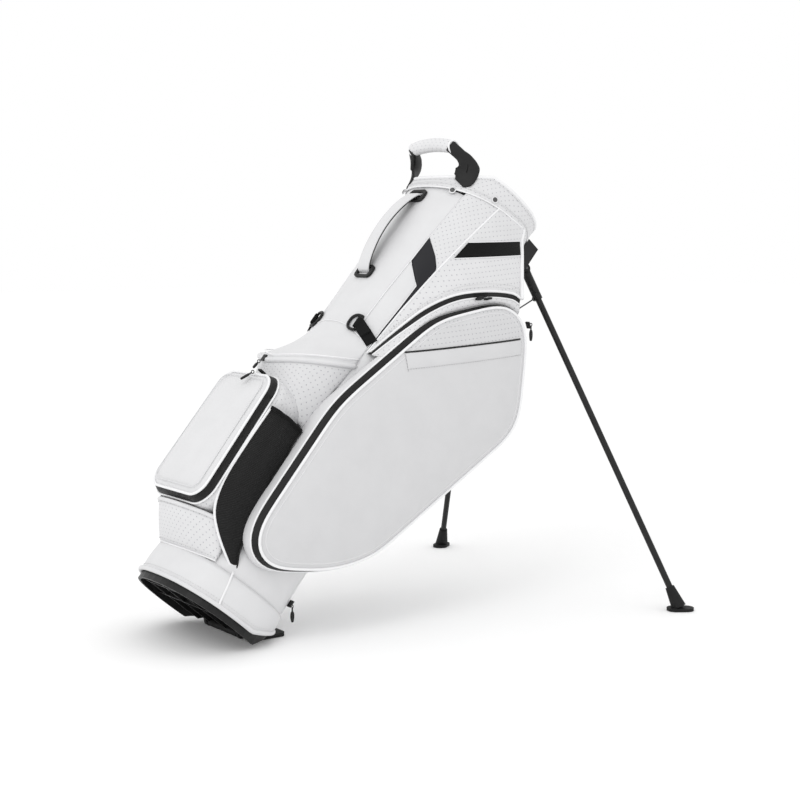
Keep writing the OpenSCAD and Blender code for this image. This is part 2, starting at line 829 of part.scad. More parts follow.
module leg_right() { leg_tube(); }
module leg_left() { mirror([0, 1, 0]) leg_tube(); }
module leg_knuckle_right() { leg_knuckle(); }
module leg_knuckle_left() { mirror([0, 1, 0]) leg_knuckle(); }
module leg_boot_right() { leg_boot(); }
module leg_boot_left() { mirror([0, 1, 0]) leg_boot(); }
module wire_clip_right() { wire_clip(); }
module wire_clip_left() { mirror([0, 1, 0]) wire_clip(); }
module push_link_right() { push_link(); }
module push_link_left() { mirror([0, 1, 0]) push_link(); }
module d_ring_right() { d_ring(); }
module d_ring_left() { mirror([0, 1, 0]) d_ring(); }

base_tray();
base_foot();
foot_pin();
base_collar();
spine_panel();
side_panel_right();
side_panel_left();
front_panel();
top_cuff();
top_divider();
club_dividers();
stay_rods();
lift_handle_frame();
lift_handle_grip();
grab_handle();
grab_handle_trims();
cuff_rivets();
leg_bracket();
leg_pins();
leg_right();
leg_left();
leg_knuckle_right();
leg_knuckle_left();
leg_boot_right();
leg_boot_left();
wire_clip_right();
wire_clip_left();
push_rod();
push_link_right();
push_link_left();
rod_guides();
d_ring_right();
d_ring_left();
d_ring_webbing();
apparel_gusset_right();
apparel_gusset_left();
apparel_face_right();
apparel_face_left();
apparel_zip_right();
apparel_zip_left();
shoulder_panel_right();
shoulder_panel_left();
accent_stripes();
side_bands();
ball_gusset();
ball_face();
ball_zip();
valuables_pocket();
mesh_pocket_right();
mesh_pocket_left();
sleeve_pocket();
zip_sliders();
apparel_pull_right();
apparel_pull_left();
apparel_cord_right();
apparel_cord_left();
ball_pull();
valuables_pull();
base_pull();
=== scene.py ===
"""Looks of the golf stand bag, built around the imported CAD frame.

Points of the bag are written as (v, w, u) in metres: v toward the bag's front, w out to one side,
u up along the bag. to_row() turns them into the row frame.
"""

import json
import math

import bpy
import numpy as np
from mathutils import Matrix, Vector, noise
from mathutils.bvhtree import BVHTree


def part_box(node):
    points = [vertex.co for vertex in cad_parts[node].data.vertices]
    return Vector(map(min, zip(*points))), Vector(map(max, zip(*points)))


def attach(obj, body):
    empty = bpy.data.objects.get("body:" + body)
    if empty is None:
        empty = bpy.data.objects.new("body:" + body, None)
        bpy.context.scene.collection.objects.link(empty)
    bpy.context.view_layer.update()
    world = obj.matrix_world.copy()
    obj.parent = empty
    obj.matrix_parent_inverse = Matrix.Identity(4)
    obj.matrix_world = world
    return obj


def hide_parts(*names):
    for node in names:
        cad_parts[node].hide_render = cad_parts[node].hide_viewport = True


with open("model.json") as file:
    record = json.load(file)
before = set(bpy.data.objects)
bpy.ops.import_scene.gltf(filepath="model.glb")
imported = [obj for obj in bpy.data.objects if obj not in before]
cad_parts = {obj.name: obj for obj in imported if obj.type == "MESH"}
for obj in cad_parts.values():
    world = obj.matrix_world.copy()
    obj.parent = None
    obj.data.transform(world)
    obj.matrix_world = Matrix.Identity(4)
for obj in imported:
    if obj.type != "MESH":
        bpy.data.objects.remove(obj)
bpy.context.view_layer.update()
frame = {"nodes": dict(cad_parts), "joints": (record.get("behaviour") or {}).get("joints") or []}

LEAN = math.radians(40.7)
AXIS_FOOT = (-0.3609, 0.0, 0.0398)
RIGHT, LEFT = -1, 1
SIDES = ((RIGHT, "right"), (LEFT, "left"))

# ---- camera, light and floor ----

CAMERA_TARGET = Vector((0.0547, 0, 0.3672))
CAMERA_DISTANCE = 2.6985
CAMERA_LENS = 68.11
CAMERA_AZIMUTH = math.radians(-36.39)
CAMERA_ELEVATION = math.radians(6.302)


def add_camera():
    back = Vector((
        math.sin(CAMERA_AZIMUTH) * math.cos(CAMERA_ELEVATION),
        -math.cos(CAMERA_AZIMUTH) * math.cos(CAMERA_ELEVATION),
        math.sin(CAMERA_ELEVATION)))
    data = bpy.data.cameras.new("camera")
    data.lens = CAMERA_LENS
    data.sensor_width = 36
    camera = bpy.data.objects.new("camera", data)
    camera.location = CAMERA_TARGET + back * CAMERA_DISTANCE
    camera.rotation_euler = (-back).to_track_quat("-Z", "Y").to_euler()
    bpy.context.scene.collection.objects.link(camera)
    bpy.context.scene.camera = camera


def add_area_light(name, place, target, size, power):
    data = bpy.data.lights.new(name, "AREA")
    data.shape = "SQUARE"
    data.size = size
    data.energy = power
    light = bpy.data.objects.new(name, data)
    light.location = place
    light.rotation_euler = (Vector(target) - Vector(place)).to_track_quat("-Z", "Y").to_euler()
    bpy.context.scene.collection.objects.link(light)


def set_world():
    world = bpy.data.worlds.new("studio")
    world.use_nodes = True
    background = world.node_tree.nodes["Background"]
    background.inputs["Color"].default_value = (1, 1, 1, 1)
    background.inputs["Strength"].default_value = 1.0
    bpy.context.scene.world = world


# ---- materials ----


class Shader:
    """A material's node tree, with short calls for the nodes used here."""

    def __init__(self, name):
        self.material = bpy.data.materials.new(name)
        self.material.use_nodes = True
        self.nodes = self.material.node_tree.nodes
        self.links = self.material.node_tree.links
        self.surface = self.nodes["Principled BSDF"]
        self.coords = self.nodes.new("ShaderNodeTexCoord")

    def put(self, socket, value):
        if isinstance(value, bpy.types.NodeSocket):
            self.links.new(value, socket)
        elif value is not None:
            socket.default_value = value

    def math(self, operation, a, b=None, c=None):
        node = self.nodes.new("ShaderNodeMath")
        node.operation = operation
        for socket, value in zip(node.inputs, (a, b, c)):
            self.put(socket, value)
        return node.outputs[0]

    def vector(self, operation, a, b=None, out="Vector"):
        node = self.nodes.new("ShaderNodeVectorMath")
        node.operation = operation
        self.put(node.inputs[0], a)
        if operation == "SCALE":
            node.inputs["Scale"].default_value = b
        else:
            self.put(node.inputs[1], b)
        return node.outputs[out]

    def noise(self, scale, detail=3.0, rough=0.5, where=None):
        node = self.nodes.new("ShaderNodeTexNoise")
        node.inputs["Scale"].default_value = scale
        node.inputs["Detail"].default_value = detail
        node.inputs["Roughness"].default_value = rough
        self.put(node.inputs["Vector"], where or self.coords.outputs["Object"])
        return node.outputs["Fac"]

    def voronoi(self, scale, feature="F1"):
        node = self.nodes.new("ShaderNodeTexVoronoi")
        node.feature = feature
        node.inputs["Scale"].default_value = scale
        self.put(node.inputs["Vector"], self.coords.outputs["Object"])
        return node.outputs["Distance"]

    def spread(self, value, low, high, to_low=0.0, to_high=1.0):
        node = self.nodes.new("ShaderNodeMapRange")
        self.put(node.inputs["Value"], value)
        for key, number in zip(("From Min", "From Max", "To Min", "To Max"), (low, high, to_low, to_high)):
            node.inputs[key].default_value = number
        return node.outputs["Result"]

    def turns(self, pitch):
        """Sockets X and Y that grow by one full turn with each pitch of the flat layout."""
        place = self.vector("SCALE", self.coords.outputs["UV"], 2 * math.pi / pitch)
        split = self.nodes.new("ShaderNodeSeparateXYZ")
        self.links.new(place, split.inputs[0])
        return split.outputs

    def mix(self, factor, a, b):
        node = self.nodes.new("ShaderNodeMix")
        node.data_type = "RGBA"
        self.put(node.inputs[0], factor)
        self.put(node.inputs[6], a)
        self.put(node.inputs[7], b)
        return node.outputs[2]

    def bump(self, height, distance, strength=1.0, normal=None):
        node = self.nodes.new("ShaderNodeBump")
        node.inputs["Strength"].default_value = strength
        node.inputs["Distance"].default_value = distance
        self.put(node.inputs["Height"], height)
        self.put(node.inputs["Normal"], normal)
        return node.outputs["Normal"]

    def finish(self, colour, rough, normal=None, metallic=0.0, specular=0.5, sheen=0.0, coat=0.0):
        self.put(self.surface.inputs["Base Color"], colour)
        self.put(self.surface.inputs["Roughness"], rough)
        self.put(self.surface.inputs["Normal"], normal)
        self.surface.inputs["Metallic"].default_value = metallic
        self.surface.inputs["Specular IOR Level"].default_value = specular
        self.surface.inputs["Sheen Weight"].default_value = sheen
        self.surface.inputs["Coat Weight"].default_value = coat
        return self.material


def grey(level, blue=0.0):
    return (level, level, level + blue, 1.0)


PERF_PITCH = 0.0118
PERF_RADIUS = 0.0009


def holes(shader, above=None):
    """1 inside each small punched hole of a staggered grid laid out in the piece's own metres."""
    place = shader.vector("SCALE", shader.coords.outputs["UV"], 1 / PERF_PITCH)
    found = []
    for shift in (0.0, 0.5):
        moved = shader.vector("ADD", place, (shift, shift, 0))
        cell = shader.vector("SUBTRACT", shader.vector("FRACTION", moved), (0.5, 0.5, 0))
        flat = shader.vector("MULTIPLY", cell, (1, 1, 0))
        found.append(shader.vector("LENGTH", flat, out="Value"))
    nearest = shader.math("MINIMUM", *found)
    edge = PERF_RADIUS / PERF_PITCH
    mask = shader.spread(nearest, edge * 0.75, edge * 1.1, 1.0, 0.0)
    if above is None:
        return mask
    direction, level = above
    along = shader.vector("DOT_PRODUCT", shader.coords.outputs["UV"], direction, out="Value")
    return shader.math("MULTIPLY", mask, shader.math("GREATER_THAN", along, level))


def leather(name, level=0.72, rough=0.5, perforated=False, above=None, tint=0.008):
    """Smooth coated leather: a fine pebble grain, faint broad waves, and holes where it is perforated."""
    s = Shader(name)
    waves = s.noise(9.0, 2.0)
    grain = s.voronoi(760.0)
    pores = s.noise(2100.0, 2.0)
    stain = s.noise(26.0, 4.0, 0.6)
    colour = s.mix(s.spread(stain, 0.35, 0.75), grey(level, tint), grey(level * 0.965, tint))
    height = s.math("ADD", s.math("MULTIPLY", grain, 0.7), s.math("MULTIPLY", pores, 0.3))
    normal = s.bump(waves, 0.004, 0.35)
    normal = s.bump(height, 0.00018, 0.5, normal)
    gloss = s.spread(stain, 0.3, 0.7, rough - 0.04, rough + 0.06)
    if perforated or above:
        hole = holes(s, above)
        colour = s.mix(hole, colour, grey(level * 0.60, 0.03))
        normal = s.bump(s.math("SUBTRACT", 1.0, hole), 0.0006, 0.9, normal)
    return s.finish(colour, gloss, normal, specular=0.25)


def weave(name, level, pitch, rough=0.8, sheen=0.04):
    """Woven webbing or lining, its threads laid out in the piece's own metres."""
    s = Shader(name)
    turns = s.turns(pitch)
    across = s.math("SINE", turns["X"])
    along = s.math("SINE", turns["Y"])
    threads = s.math("MULTIPLY", across, along)
    fuzz = s.noise(900.0, 3.0)
    colour = s.mix(s.spread(threads, -1.0, 1.0), grey(level * 0.6), grey(level * 1.5))
    height = s.math("ADD", threads, s.math("MULTIPLY", fuzz, 0.6))
    return s.finish(colour, rough, s.bump(height, 0.0003, 0.8), specular=0.16, sheen=sheen)


def ribbed(name, level, pitch, rough=0.5):
    """Knitted mesh: close ribs across the piece, each broken by small cells."""
    s = Shader(name)
    turns = s.turns(pitch)
    rib = s.math("SINE", turns["Y"])
    cell = s.math("SINE", s.math("MULTIPLY", turns["X"], 1.3))
    folds = s.noise(34.0, 2.0)
    height = s.math("ADD", rib, s.math("MULTIPLY", cell, 0.35))
    colour = s.mix(s.spread(height, -1.0, 1.3), grey(level * 0.25), grey(level * 1.9))
    normal = s.bump(folds, 0.006, 0.6)
    normal = s.bump(height, 0.0006, 0.9, normal)
    return s.finish(colour, rough, normal, specular=0.25, sheen=0.03)


def plastic(name, level, rough=0.38, grain=1400.0, depth=0.00012, metallic=0.0):
    """Moulded plastic or painted metal with a fine texture and slightly rubbed places."""
    s = Shader(name)
    rub = s.noise(55.0, 4.0, 0.65)
    fine = s.noise(grain, 2.0)
    colour = s.mix(s.spread(rub, 0.45, 0.8), grey(level), grey(level * 1.5 + 0.004))
    gloss = s.spread(rub, 0.3, 0.75, rough, rough + 0.14)
    return s.finish(colour, gloss, s.bump(fine, depth, 0.6), metallic=metallic, specular=0.3)


TEETH_PITCH = 0.0022


def zip_tape(name):
    """Coated zip: close teeth ribs across the band, seen under its satin film."""
    s = Shader(name)
    turns = s.turns(TEETH_PITCH)
    teeth = s.math("SINE", turns["X"])
    rub = s.noise(70.0, 3.0)
    colour = s.mix(s.spread(rub, 0.4, 0.8), grey(0.004), grey(0.012))
    normal = s.bump(teeth, 0.00022, 0.7)
    return s.finish(colour, s.spread(rub, 0.3, 0.8, 0.34, 0.55), normal, specular=0.3)


def thread(name, level):
    s = Shader(name)
    twist = s.noise(2600.0, 2.0)
    colour = s.mix(twist, grey(level * 0.9), grey(level))
    return s.finish(colour, 0.6, s.bump(twist, 0.0002, 0.7), sheen=0.2)


def floor_surface():
    s = Shader("studio_floor")
    cloud = s.noise(1.2, 2.0)
    s.surface.inputs["Emission Color"].default_value = (1, 1, 1, 1)
    s.surface.inputs["Emission Strength"].default_value = 0.05
    return s.finish(s.mix(cloud, grey(0.95), grey(0.97)), 0.9, specular=0.0)


FACE_LINE = (-0.687, 0.727, 0)
FACE_LEVEL = 0.412
WHITE = leather("white_leather")
WHITE_PERF = leather("white_perforated_leather", perforated=True)
# Painted shade: the pocket face and its flap are the same white leather as the rest, made darker (0.65 and
# 0.66 against 0.72) for a side face turned from the light
POCKET_FACE_PAINTED_SHADE = leather("white_pocket_face", 0.65, above=(FACE_LINE, FACE_LEVEL))
POCKET_FLAP_PAINTED_SHADE = leather("white_pocket_flap", 0.66)
GRIP_WHITE = leather("white_grip_leather", 0.76, 0.5, perforated=True)
PIPING = leather("white_piping", 0.88, 0.34)
CHARCOAL = leather("charcoal_leather", 0.016, 0.5, tint=0.003)
BAND = weave("black_band_fabric", 0.004, 0.0016)
WEBBING = weave("black_webbing", 0.006, 0.0020)
LINING = weave("black_lining", 0.006, 0.0012, 0.85)
MESH = ribbed("black_mesh", 0.010, 0.0026)
ZIP = zip_tape("black_zip")
PLASTIC = plastic("black_plastic", 0.007)
SOFT_PLASTIC = plastic("black_soft_plastic", 0.009, 0.5, 900.0, 0.0002)
RUBBER = plastic("black_rubber", 0.006, 0.62, 500.0, 0.0003)
LEG_PAINT = plastic("leg_paint", 0.010, 0.36, 1800.0, 0.00006)
STEEL = plastic("dark_steel", 0.10, 0.32, 2400.0, 0.00004, metallic=0.9)
STAY = plastic("stay_rod", 0.03, 0.45)
THREAD = thread("white_thread", 0.62)
DARK_THREAD = thread("grey_thread", 0.42)

# Slot names for the materials; add_mesh looks a piece's slot up from its first material, unless the piece
# names its own, but does not store it
SLOTS = {
    "shell_white": (WHITE, POCKET_FACE_PAINTED_SHADE, POCKET_FLAP_PAINTED_SHADE, PIPING, THREAD, DARK_THREAD), "perforated_white": (WHITE_PERF,),
    "grip_white": (GRIP_WHITE,), "charcoal_panel": (CHARCOAL,), "black_webbing": (BAND, WEBBING),
    "black_lining": (LINING,), "black_mesh": (MESH,), "zip_black": (ZIP,),
    "black_plastic": (PLASTIC, SOFT_PLASTIC), "steel_dark": (STEEL,)}
SLOT_OF = {material.name: slot for slot, group in SLOTS.items() for material in group}

# ---- mesh tools ----


def to_row(points, side=RIGHT):
    """Bag points (v, w, u) into the row frame, w going out to that side."""
    p = np.asarray(points, float).reshape(-1, 3)
    v, w, u = p[:, 0], p[:, 1], p[:, 2]
    x = v * math.cos(LEAN) + u * math.sin(LEAN) + AXIS_FOOT[0]
    z = -v * math.sin(LEAN) + u * math.cos(LEAN) + AXIS_FOOT[2]
    return np.stack([x, side * w, z], 1)


def add_mesh(name, points, faces, materials, side=RIGHT, uv=None, body="bag", slot=None,
             stands_for=(), outward=True):
    """A mesh from bag points. outward turns its faces away from the bag's own axis."""
    points = np.asarray(points, float).reshape(-1, 3)
    faces = [list(f) for f in faces]
    if outward:
        lean = 0.0
        for f in faces:
            corners = points[f]
            middle = corners.mean(0)
            normal = np.cross(corners[1] - corners[0], corners[2] - corners[0])
            lean += float(normal[0] * middle[0] + normal[1] * middle[1])
        if lean > 0:
            faces = [f[::-1] for f in faces]
        if side == LEFT:
            faces = [f[::-1] for f in faces]
    mesh = bpy.data.meshes.new(name)
    mesh.from_pydata(to_row(points, side).tolist(), [], faces)
    if uv is not None:
        layer = mesh.uv_layers.new(name="UVMap")
        order = np.zeros(len(mesh.loops), int)
        mesh.loops.foreach_get("vertex_index", order)
        layer.data.foreach_set("uv", np.asarray(uv, float).reshape(-1, 2)[order].ravel())
    materials = materials if isinstance(materials, list) else [materials]
    for material in materials:
        mesh.materials.append(material)
    mesh.polygons.foreach_set("use_smooth", [True] * len(mesh.polygons))
    obj = bpy.data.objects.new(name, mesh)
    bpy.context.scene.collection.objects.link(obj)
    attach(obj, body)
    slot = slot or SLOT_OF[materials[0].name]
    if stands_for:
        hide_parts(*stands_for)
    return obj


def grid_faces(rows, cols, loop=False):
    last = cols if loop else cols - 1
    return [[i * cols + j, i * cols + (j + 1) % cols, (i + 1) * cols + (j + 1) % cols, (i + 1) * cols + j]
            for i in range(rows - 1) for j in range(last)]


def end_faces(rows, count):
    """The two flat ends of a tube's grid."""
    return [list(range(count))[::-1], [(rows - 1) * count + j for j in range(count)]]


def dome_faces(rings, count):
    """Closed rings drawn together to one last point."""
    start = (rings - 1) * count
    tip = [[start + j, start + (j + 1) % count, rings * count] for j in range(count)]
    return grid_faces(rings, count, True) + tip


def grid_uv(p, loop=False):
    """Flat lengths along the rows, measured from the middle column, and up the columns."""
    across = np.linalg.norm(np.diff(p, axis=1), axis=2)
    x = np.concatenate([np.zeros((len(p), 1)), np.cumsum(across, 1)], 1)
    if not loop:
        x = x - x[:, p.shape[1] // 2][:, None]
    up = np.linalg.norm(np.diff(p, axis=0), axis=2)
    y = np.concatenate([np.zeros((1, p.shape[1])), np.cumsum(up, 0)], 0)
    y = np.repeat(y.mean(1)[:, None], p.shape[1], 1)
    return np.stack([x, y], 2)


def add_shell(name, p, materials, thick=0.0, loop=False, uv=None, **keys):
    """A sheet through a grid of bag points, thickened inward. A second material lines its back."""
    p = np.asarray(p, float)
    obj = add_mesh(name, p, grid_faces(p.shape[0], p.shape[1], loop), materials,
                   uv=grid_uv(p, loop) if uv is None else uv, **keys)
    if thick:
        solid = obj.modifiers.new("thickness", "SOLIDIFY")
        solid.thickness = thick
        solid.offset = -1
        solid.material_offset = len(obj.data.materials) - 1
    return obj


def resample(points, count, closed=False):
    """Evenly spaced points along a path."""
    p = np.asarray(points, float)
    if closed:
        p = np.vstack([p, p[:1]])
    run = np.concatenate([[0], np.cumsum(np.linalg.norm(np.diff(p, axis=0), axis=1))])
    at = np.linspace(0, run[-1], count + 1)[:-1] if closed else np.linspace(0, run[-1], count)
    return np.stack([np.interp(at, run, p[:, k]) for k in range(p.shape[1])], 1)


def smooth_path(points, count):
    """A smooth curve through a few points, with count evenly spaced points on it."""
    p = np.asarray(points, float)
    ends = np.vstack([2 * p[0] - p[1], p, 2 * p[-1] - p[-2]])
    out = []
    for i in range(1, len(ends) - 2):
        a, b, c, d = ends[i - 1:i + 3]
        for t in np.linspace(0, 1, 16, endpoint=False):
            out.append(0.5 * (2 * b + (c - a) * t + (2 * a - 5 * b + 4 * c - d) * t * t
                              + (3 * b - a - 3 * c + d) * t ** 3))
    out.append(p[-1])
    return resample(out, count)


def frames_along(path, closed):
    """Tangent and two cross directions at each point, turning as little as possible."""
    if closed:
        tangent = np.roll(path, -1, 0) - np.roll(path, 1, 0)
    else:
        tangent = np.gradient(path, axis=0)
    tangent /= np.linalg.norm(tangent, axis=1)[:, None] + 1e-12
    first = np.cross(tangent[0], [0.3, 0.5, 0.81])
    side = first / np.linalg.norm(first)
    sides = []
    for t in tangent:
        side = side - t * (side @ t)
        side /= np.linalg.norm(side)
        sides.append(side)
    sides = np.array(sides)
    return tangent, sides, np.cross(tangent, sides)


def tube_mesh(path, radius, closed=False, around=8):
    """Points and faces of a round tube. radius may be one number or one for each point."""
    path = np.asarray(path, float)
    _, a, b = frames_along(path, closed)
    radius = np.broadcast_to(np.asarray(radius, float), (len(path),))
    turn = np.linspace(0, 2 * math.pi, around, endpoint=False)
    ring = np.cos(turn)[None, :, None] * a[:, None] + np.sin(turn)[None, :, None] * b[:, None]
    points = path[:, None] + ring * radius[:, None, None]
    rows = len(path)
    faces = grid_faces(rows, around, True)
    if closed:
        faces += [[(rows - 1) * around + j, (rows - 1) * around + (j + 1) % around, (j + 1) % around, j]
                  for j in range(around)]
    else:
        faces += end_faces(rows, around)
    return points.reshape(-1, 3), faces


def join_parts(parts):
    points, faces, start = [], [], 0
    for p, f in parts:
        points.append(np.asarray(p).reshape(-1, 3))
        faces += [[start + k for k in face] for face in f]
        start += len(points[-1])
    return np.vstack(points), faces


def add_pipes(name, paths, radius, material, closed=False, around=8, **keys):
    """Round cords along paths, as one piece."""
    parts = [tube_mesh(path, radius, closed, around) for path in paths]
    points, faces = join_parts(parts)
    return add_mesh(name, points, faces, material, outward=False, **keys)


STITCH_PITCH = 0.0050
STITCH_LONG = 0.0034
STITCH_R = 0.00055


def add_stitches(name, paths, material=THREAD, **keys):
    """Rows of separate stitches, each a small pointed bead of thread lying along its path."""
    parts = []
    for path in paths:
        run = np.linalg.norm(np.diff(path, axis=0), axis=1).sum()
        count = max(3, int(run / STITCH_PITCH))
        spots = resample(path, count)
        tangent, a, b = frames_along(spots, False)
        for s, t, m, n in zip(spots, tangent, a, b):
            body = [s + (x * m + y * n) * STITCH_R for x, y in ((1, 0), (0, 1), (-1, 0), (0, -1))]
            parts.append((np.array([s - t * STITCH_LONG / 2, *body, s + t * STITCH_LONG / 2]),
                          [[0, 2, 1], [0, 3, 2], [0, 4, 3], [0, 1, 4],
                           [5, 1, 2], [5, 2, 3], [5, 3, 4], [5, 4, 1]]))
    points, faces = join_parts(parts)
    return add_mesh(name, points, faces, material, outward=False, **keys)


def blend_between(a, b, k):
    return a + (b - a) * k


def coons(bottom, top, left, right):
    """A smooth patch between four edges: bottom and top run left to right, left and right run upward."""
    s = np.linspace(0, 1, len(bottom))[None, :, None]
    t = np.linspace(0, 1, len(left))[:, None, None]
    ruled = (1 - t) * bottom[None] + t * top[None] + (1 - s) * left[:, None] + s * right[:, None]
    corners = ((1 - s) * (1 - t) * bottom[0] + s * (1 - t) * bottom[-1]
               + (1 - s) * t * top[0] + s * t * top[-1])
    return ruled - corners


class Patch:
    """A fine grid of points that can be sampled anywhere between 0 and 1, with its normals."""

    def __init__(self, grid):
        self.p = np.asarray(grid, float)
        du = np.gradient(self.p, axis=1)
        dv = np.gradient(self.p, axis=0)
        n = np.cross(du, dv)
        n /= np.linalg.norm(n, axis=2)[:, :, None] + 1e-12
        middle = self.p[len(self.p) // 2, self.p.shape[1] // 2]
        facing = n[len(n) // 2, n.shape[1] // 2]
        if facing[0] * middle[0] + facing[1] * middle[1] < 0:
            n = -n
        self.n = n

    def sample(self, s, t, lift=0.0):
        rows, cols = self.p.shape[:2]
        y = np.clip(np.asarray(t, float), 0, 1) * (rows - 1)
        x = np.clip(np.asarray(s, float), 0, 1) * (cols - 1)
        i = np.minimum(y.astype(int), rows - 2)
        j = np.minimum(x.astype(int), cols - 2)
        fy, fx = (y - i)[..., None], (x - j)[..., None]
        field = self.p + self.n * lift
        return ((1 - fy) * ((1 - fx) * field[i, j] + fx * field[i, j + 1])
                + fy * ((1 - fx) * field[i + 1, j] + fx * field[i + 1, j + 1]))


# ---- the bag's tube ----

OVAL_POWER = 2.3
OVAL = 2 / OVAL_POWER
SPINE_D = 0.104
FRONT_D = 0.105
TUBE_HW = 0.115


def signed_power(x, e):
    return np.sign(x) * np.abs(x) ** e


def tube(t, u, off=0.0):
    """Points on the tube, t degrees round from the front. The side is at 90 and the spine at 180."""
    t, u, off = np.broadcast_arrays(np.asarray(t, float), np.asarray(u, float), np.asarray(off, float))
    angle = np.radians(t)
    half = 0.125 - 0.010 * np.clip((u - 0.052) / 0.078, 0, 1)
    front = FRONT_D + 0.003 * np.clip((u - 0.6) / 0.25, 0, 1)
    deep = np.where(np.cos(angle) < 0, SPINE_D, front)
    v = (deep + off) * signed_power(np.cos(angle), OVAL)
    w = (half + off) * signed_power(np.sin(angle), OVAL)
    return np.stack([v, w, u], -1)


def tube_w(v):
    """Half width of the tube at that distance in front of its axis."""
    deep = np.where(np.asarray(v) < 0, SPINE_D, FRONT_D)
    return TUBE_HW * (1 - np.clip(np.abs(v) / deep, 0, 1) ** OVAL_POWER) ** (1 / OVAL_POWER)


def flat_round(t, u):
    """Flat places of points on the tube: metres round it, and metres up it."""
    return np.stack(np.broadcast_arrays(np.asarray(t) * 0.0021, np.asarray(u)), -1)


def from_spine(t):
    """Degrees from the middle of the spine, 0 to 180."""
    return 180 - np.abs((np.asarray(t, float) + 180) % 360 - 180)


def rim_u(t):
    s = from_spine(t)
    return np.where(s < 60, 0.861 + 0.039 * (s / 60) ** 2, 0.900 + 0.015 * (s - 60) / 120)


def cuff_low_u(t):
    s = from_spine(t)
    return np.where(s < 110, 0.838 + 0.034 * (np.clip(s, 0, 110) / 110) ** 1.5,
                    0.872 - 0.010 * (s - 110) / 70)


SEAM_SPINE = ((0.05, 150), (0.50, 150), (0.62, 146), (0.75, 139.5), (0.846, 134))
SEAM_SIDE = ((0.05, 118), (0.20, 133), (0.333, 136), (0.43, 129), (0.51, 126.4), (0.60, 122), (0.70, 114.6),
             (0.78, 107), (0.866, 98))
SEAM_FRONT = 38


def seam(table, u):
    heights, angles = zip(*table)
    return np.interp(u, heights, angles)


def seam_path(table, low, high, count=40, off=0.001):
    u = np.linspace(low, high, count)
    return tube(seam(table, u), u, off)


PANEL_LOW, PANEL_HIGH = 0.0532, 0.842


def build_tube():
    u = np.linspace(PANEL_LOW, PANEL_HIGH, 60)
    k = np.linspace(0, 1, 40)
    edge = seam(SEAM_SPINE, u)[:, None]
    spine = blend_between(edge, 360 - edge, k[None])
    add_shell("spine_panel_skin", tube(spine, u[:, None]), [WHITE, LINING], 0.003,
              stands_for=("spine_panel",))
    front = blend_between(-SEAM_FRONT, SEAM_FRONT, k[None]) + 0 * u[:, None]
    add_shell("front_panel_skin", tube(front, u[:, None]), [WHITE, LINING], 0.003,
              stands_for=("front_panel",))
    for side, label in SIDES:
        flank = blend_between(SEAM_FRONT, edge, k[None])
        add_shell("side_panel_skin_" + label, tube(flank, u[:, None]), [WHITE, LINING], 0.003, side=side,
                  stands_for=("side_panel_" + label,))
        add_pipes("spine_seam_" + label, [seam_path(SEAM_SPINE, 0.49, 0.842, 60, 0.0003)], 0.0009, PIPING,
                  side=side)
        u_front = np.linspace(PANEL_LOW, 0.84, 30)
        add_pipes("front_seam_" + label, [tube(SEAM_FRONT + 0 * u_front, u_front, 0.0003)], 0.0016, PIPING,
                  side=side)


# Corners of the dark leaf, from its top down: left edge and right edge as (u, angle)
LEAF_LEFT = ((0.741, 140.0), (0.714, 141.0), (0.686, 142.0), (0.650, 123.4), (0.600, 125.0), (0.548, 127.4),
             (0.505, 128.2))
LEAF_RIGHT = ((0.740, 139.4), (0.715, 124.0), (0.700, 117.5), (0.691, 115.3), (0.600, 121.4), (0.548, 123.8),
              (0.505, 126.0))


def leaf_rows(off, fine=8):
    """The leaf as rows across it, from its top down."""
    left, right = np.array(LEAF_LEFT), np.array(LEAF_RIGHT)
    steps = np.linspace(0, len(left) - 1, (len(left) - 1) * fine + 1)
    keys = np.arange(len(left))
    edge = [np.stack([np.interp(steps, keys, side[:, k]) for k in (0, 1)], 1) for side in (left, right)]
    k = np.linspace(0, 1, 7)[None, :]
    u = blend_between(edge[0][:, :1], edge[1][:, :1], k)
    t = blend_between(edge[0][:, 1:], edge[1][:, 1:], k)
    return tube(t, u, off)


def build_side_trim():
    for side, label in SIDES:
        s = np.linspace(0, 1, 30)[None]
        k = np.linspace(0, 1, 24)[:, None]
        low = np.interp(s, (0, 0.55, 0.85, 1), (0.741, 0.716, 0.701, 0.691))
        high = cuff_low_u(blend_between(134, 98, s)) + 0.002
        u = blend_between(low, high, k)
        t = blend_between(seam(SEAM_SPINE, u), seam(SEAM_SIDE, u), s)
        add_shell("side_perforated_" + label, tube(t, u, 0.0014), WHITE_PERF, 0.0012, side=side,
                  uv=flat_round(t, u))
        rows = leaf_rows(0.0016)
        stands = ("accent_stripes",) if side == RIGHT else ()
        add_shell("accent_leaf_" + label, rows, CHARCOAL, 0.0015, side=side, stands_for=stands)
        add_pipes("leaf_edge_" + label, [tube(*np.array(LEAF_LEFT)[:, ::-1].T, 0.0016)], 0.0008,
                  PIPING, side=side)
        add_pipes("side_seam_" + label, [seam_path(SEAM_SIDE, 0.50, 0.866, 70, 0.0016)], 0.0017, PIPING,
                  side=side)


# ---- shoulder over the side pocket ----

ARC = ((-0.066, 0.098, 0.500), (-0.055, 0.117, 0.568), (-0.041, 0.130, 0.622), (-0.012, 0.140, 0.674),
       (0.034, 0.1445, 0.720), (0.078, 0.146, 0.752), (0.103, 0.1435, 0.760))
SHOULDER_FRONT = ((0.103, 0.1435, 0.760), (0.086, 0.128, 0.799), (0.072, 0.115, 0.832), (0.060, 0.107, 0.856),
                  (0.049, 0.1045, 0.879))
CURVE_POINTS = 48


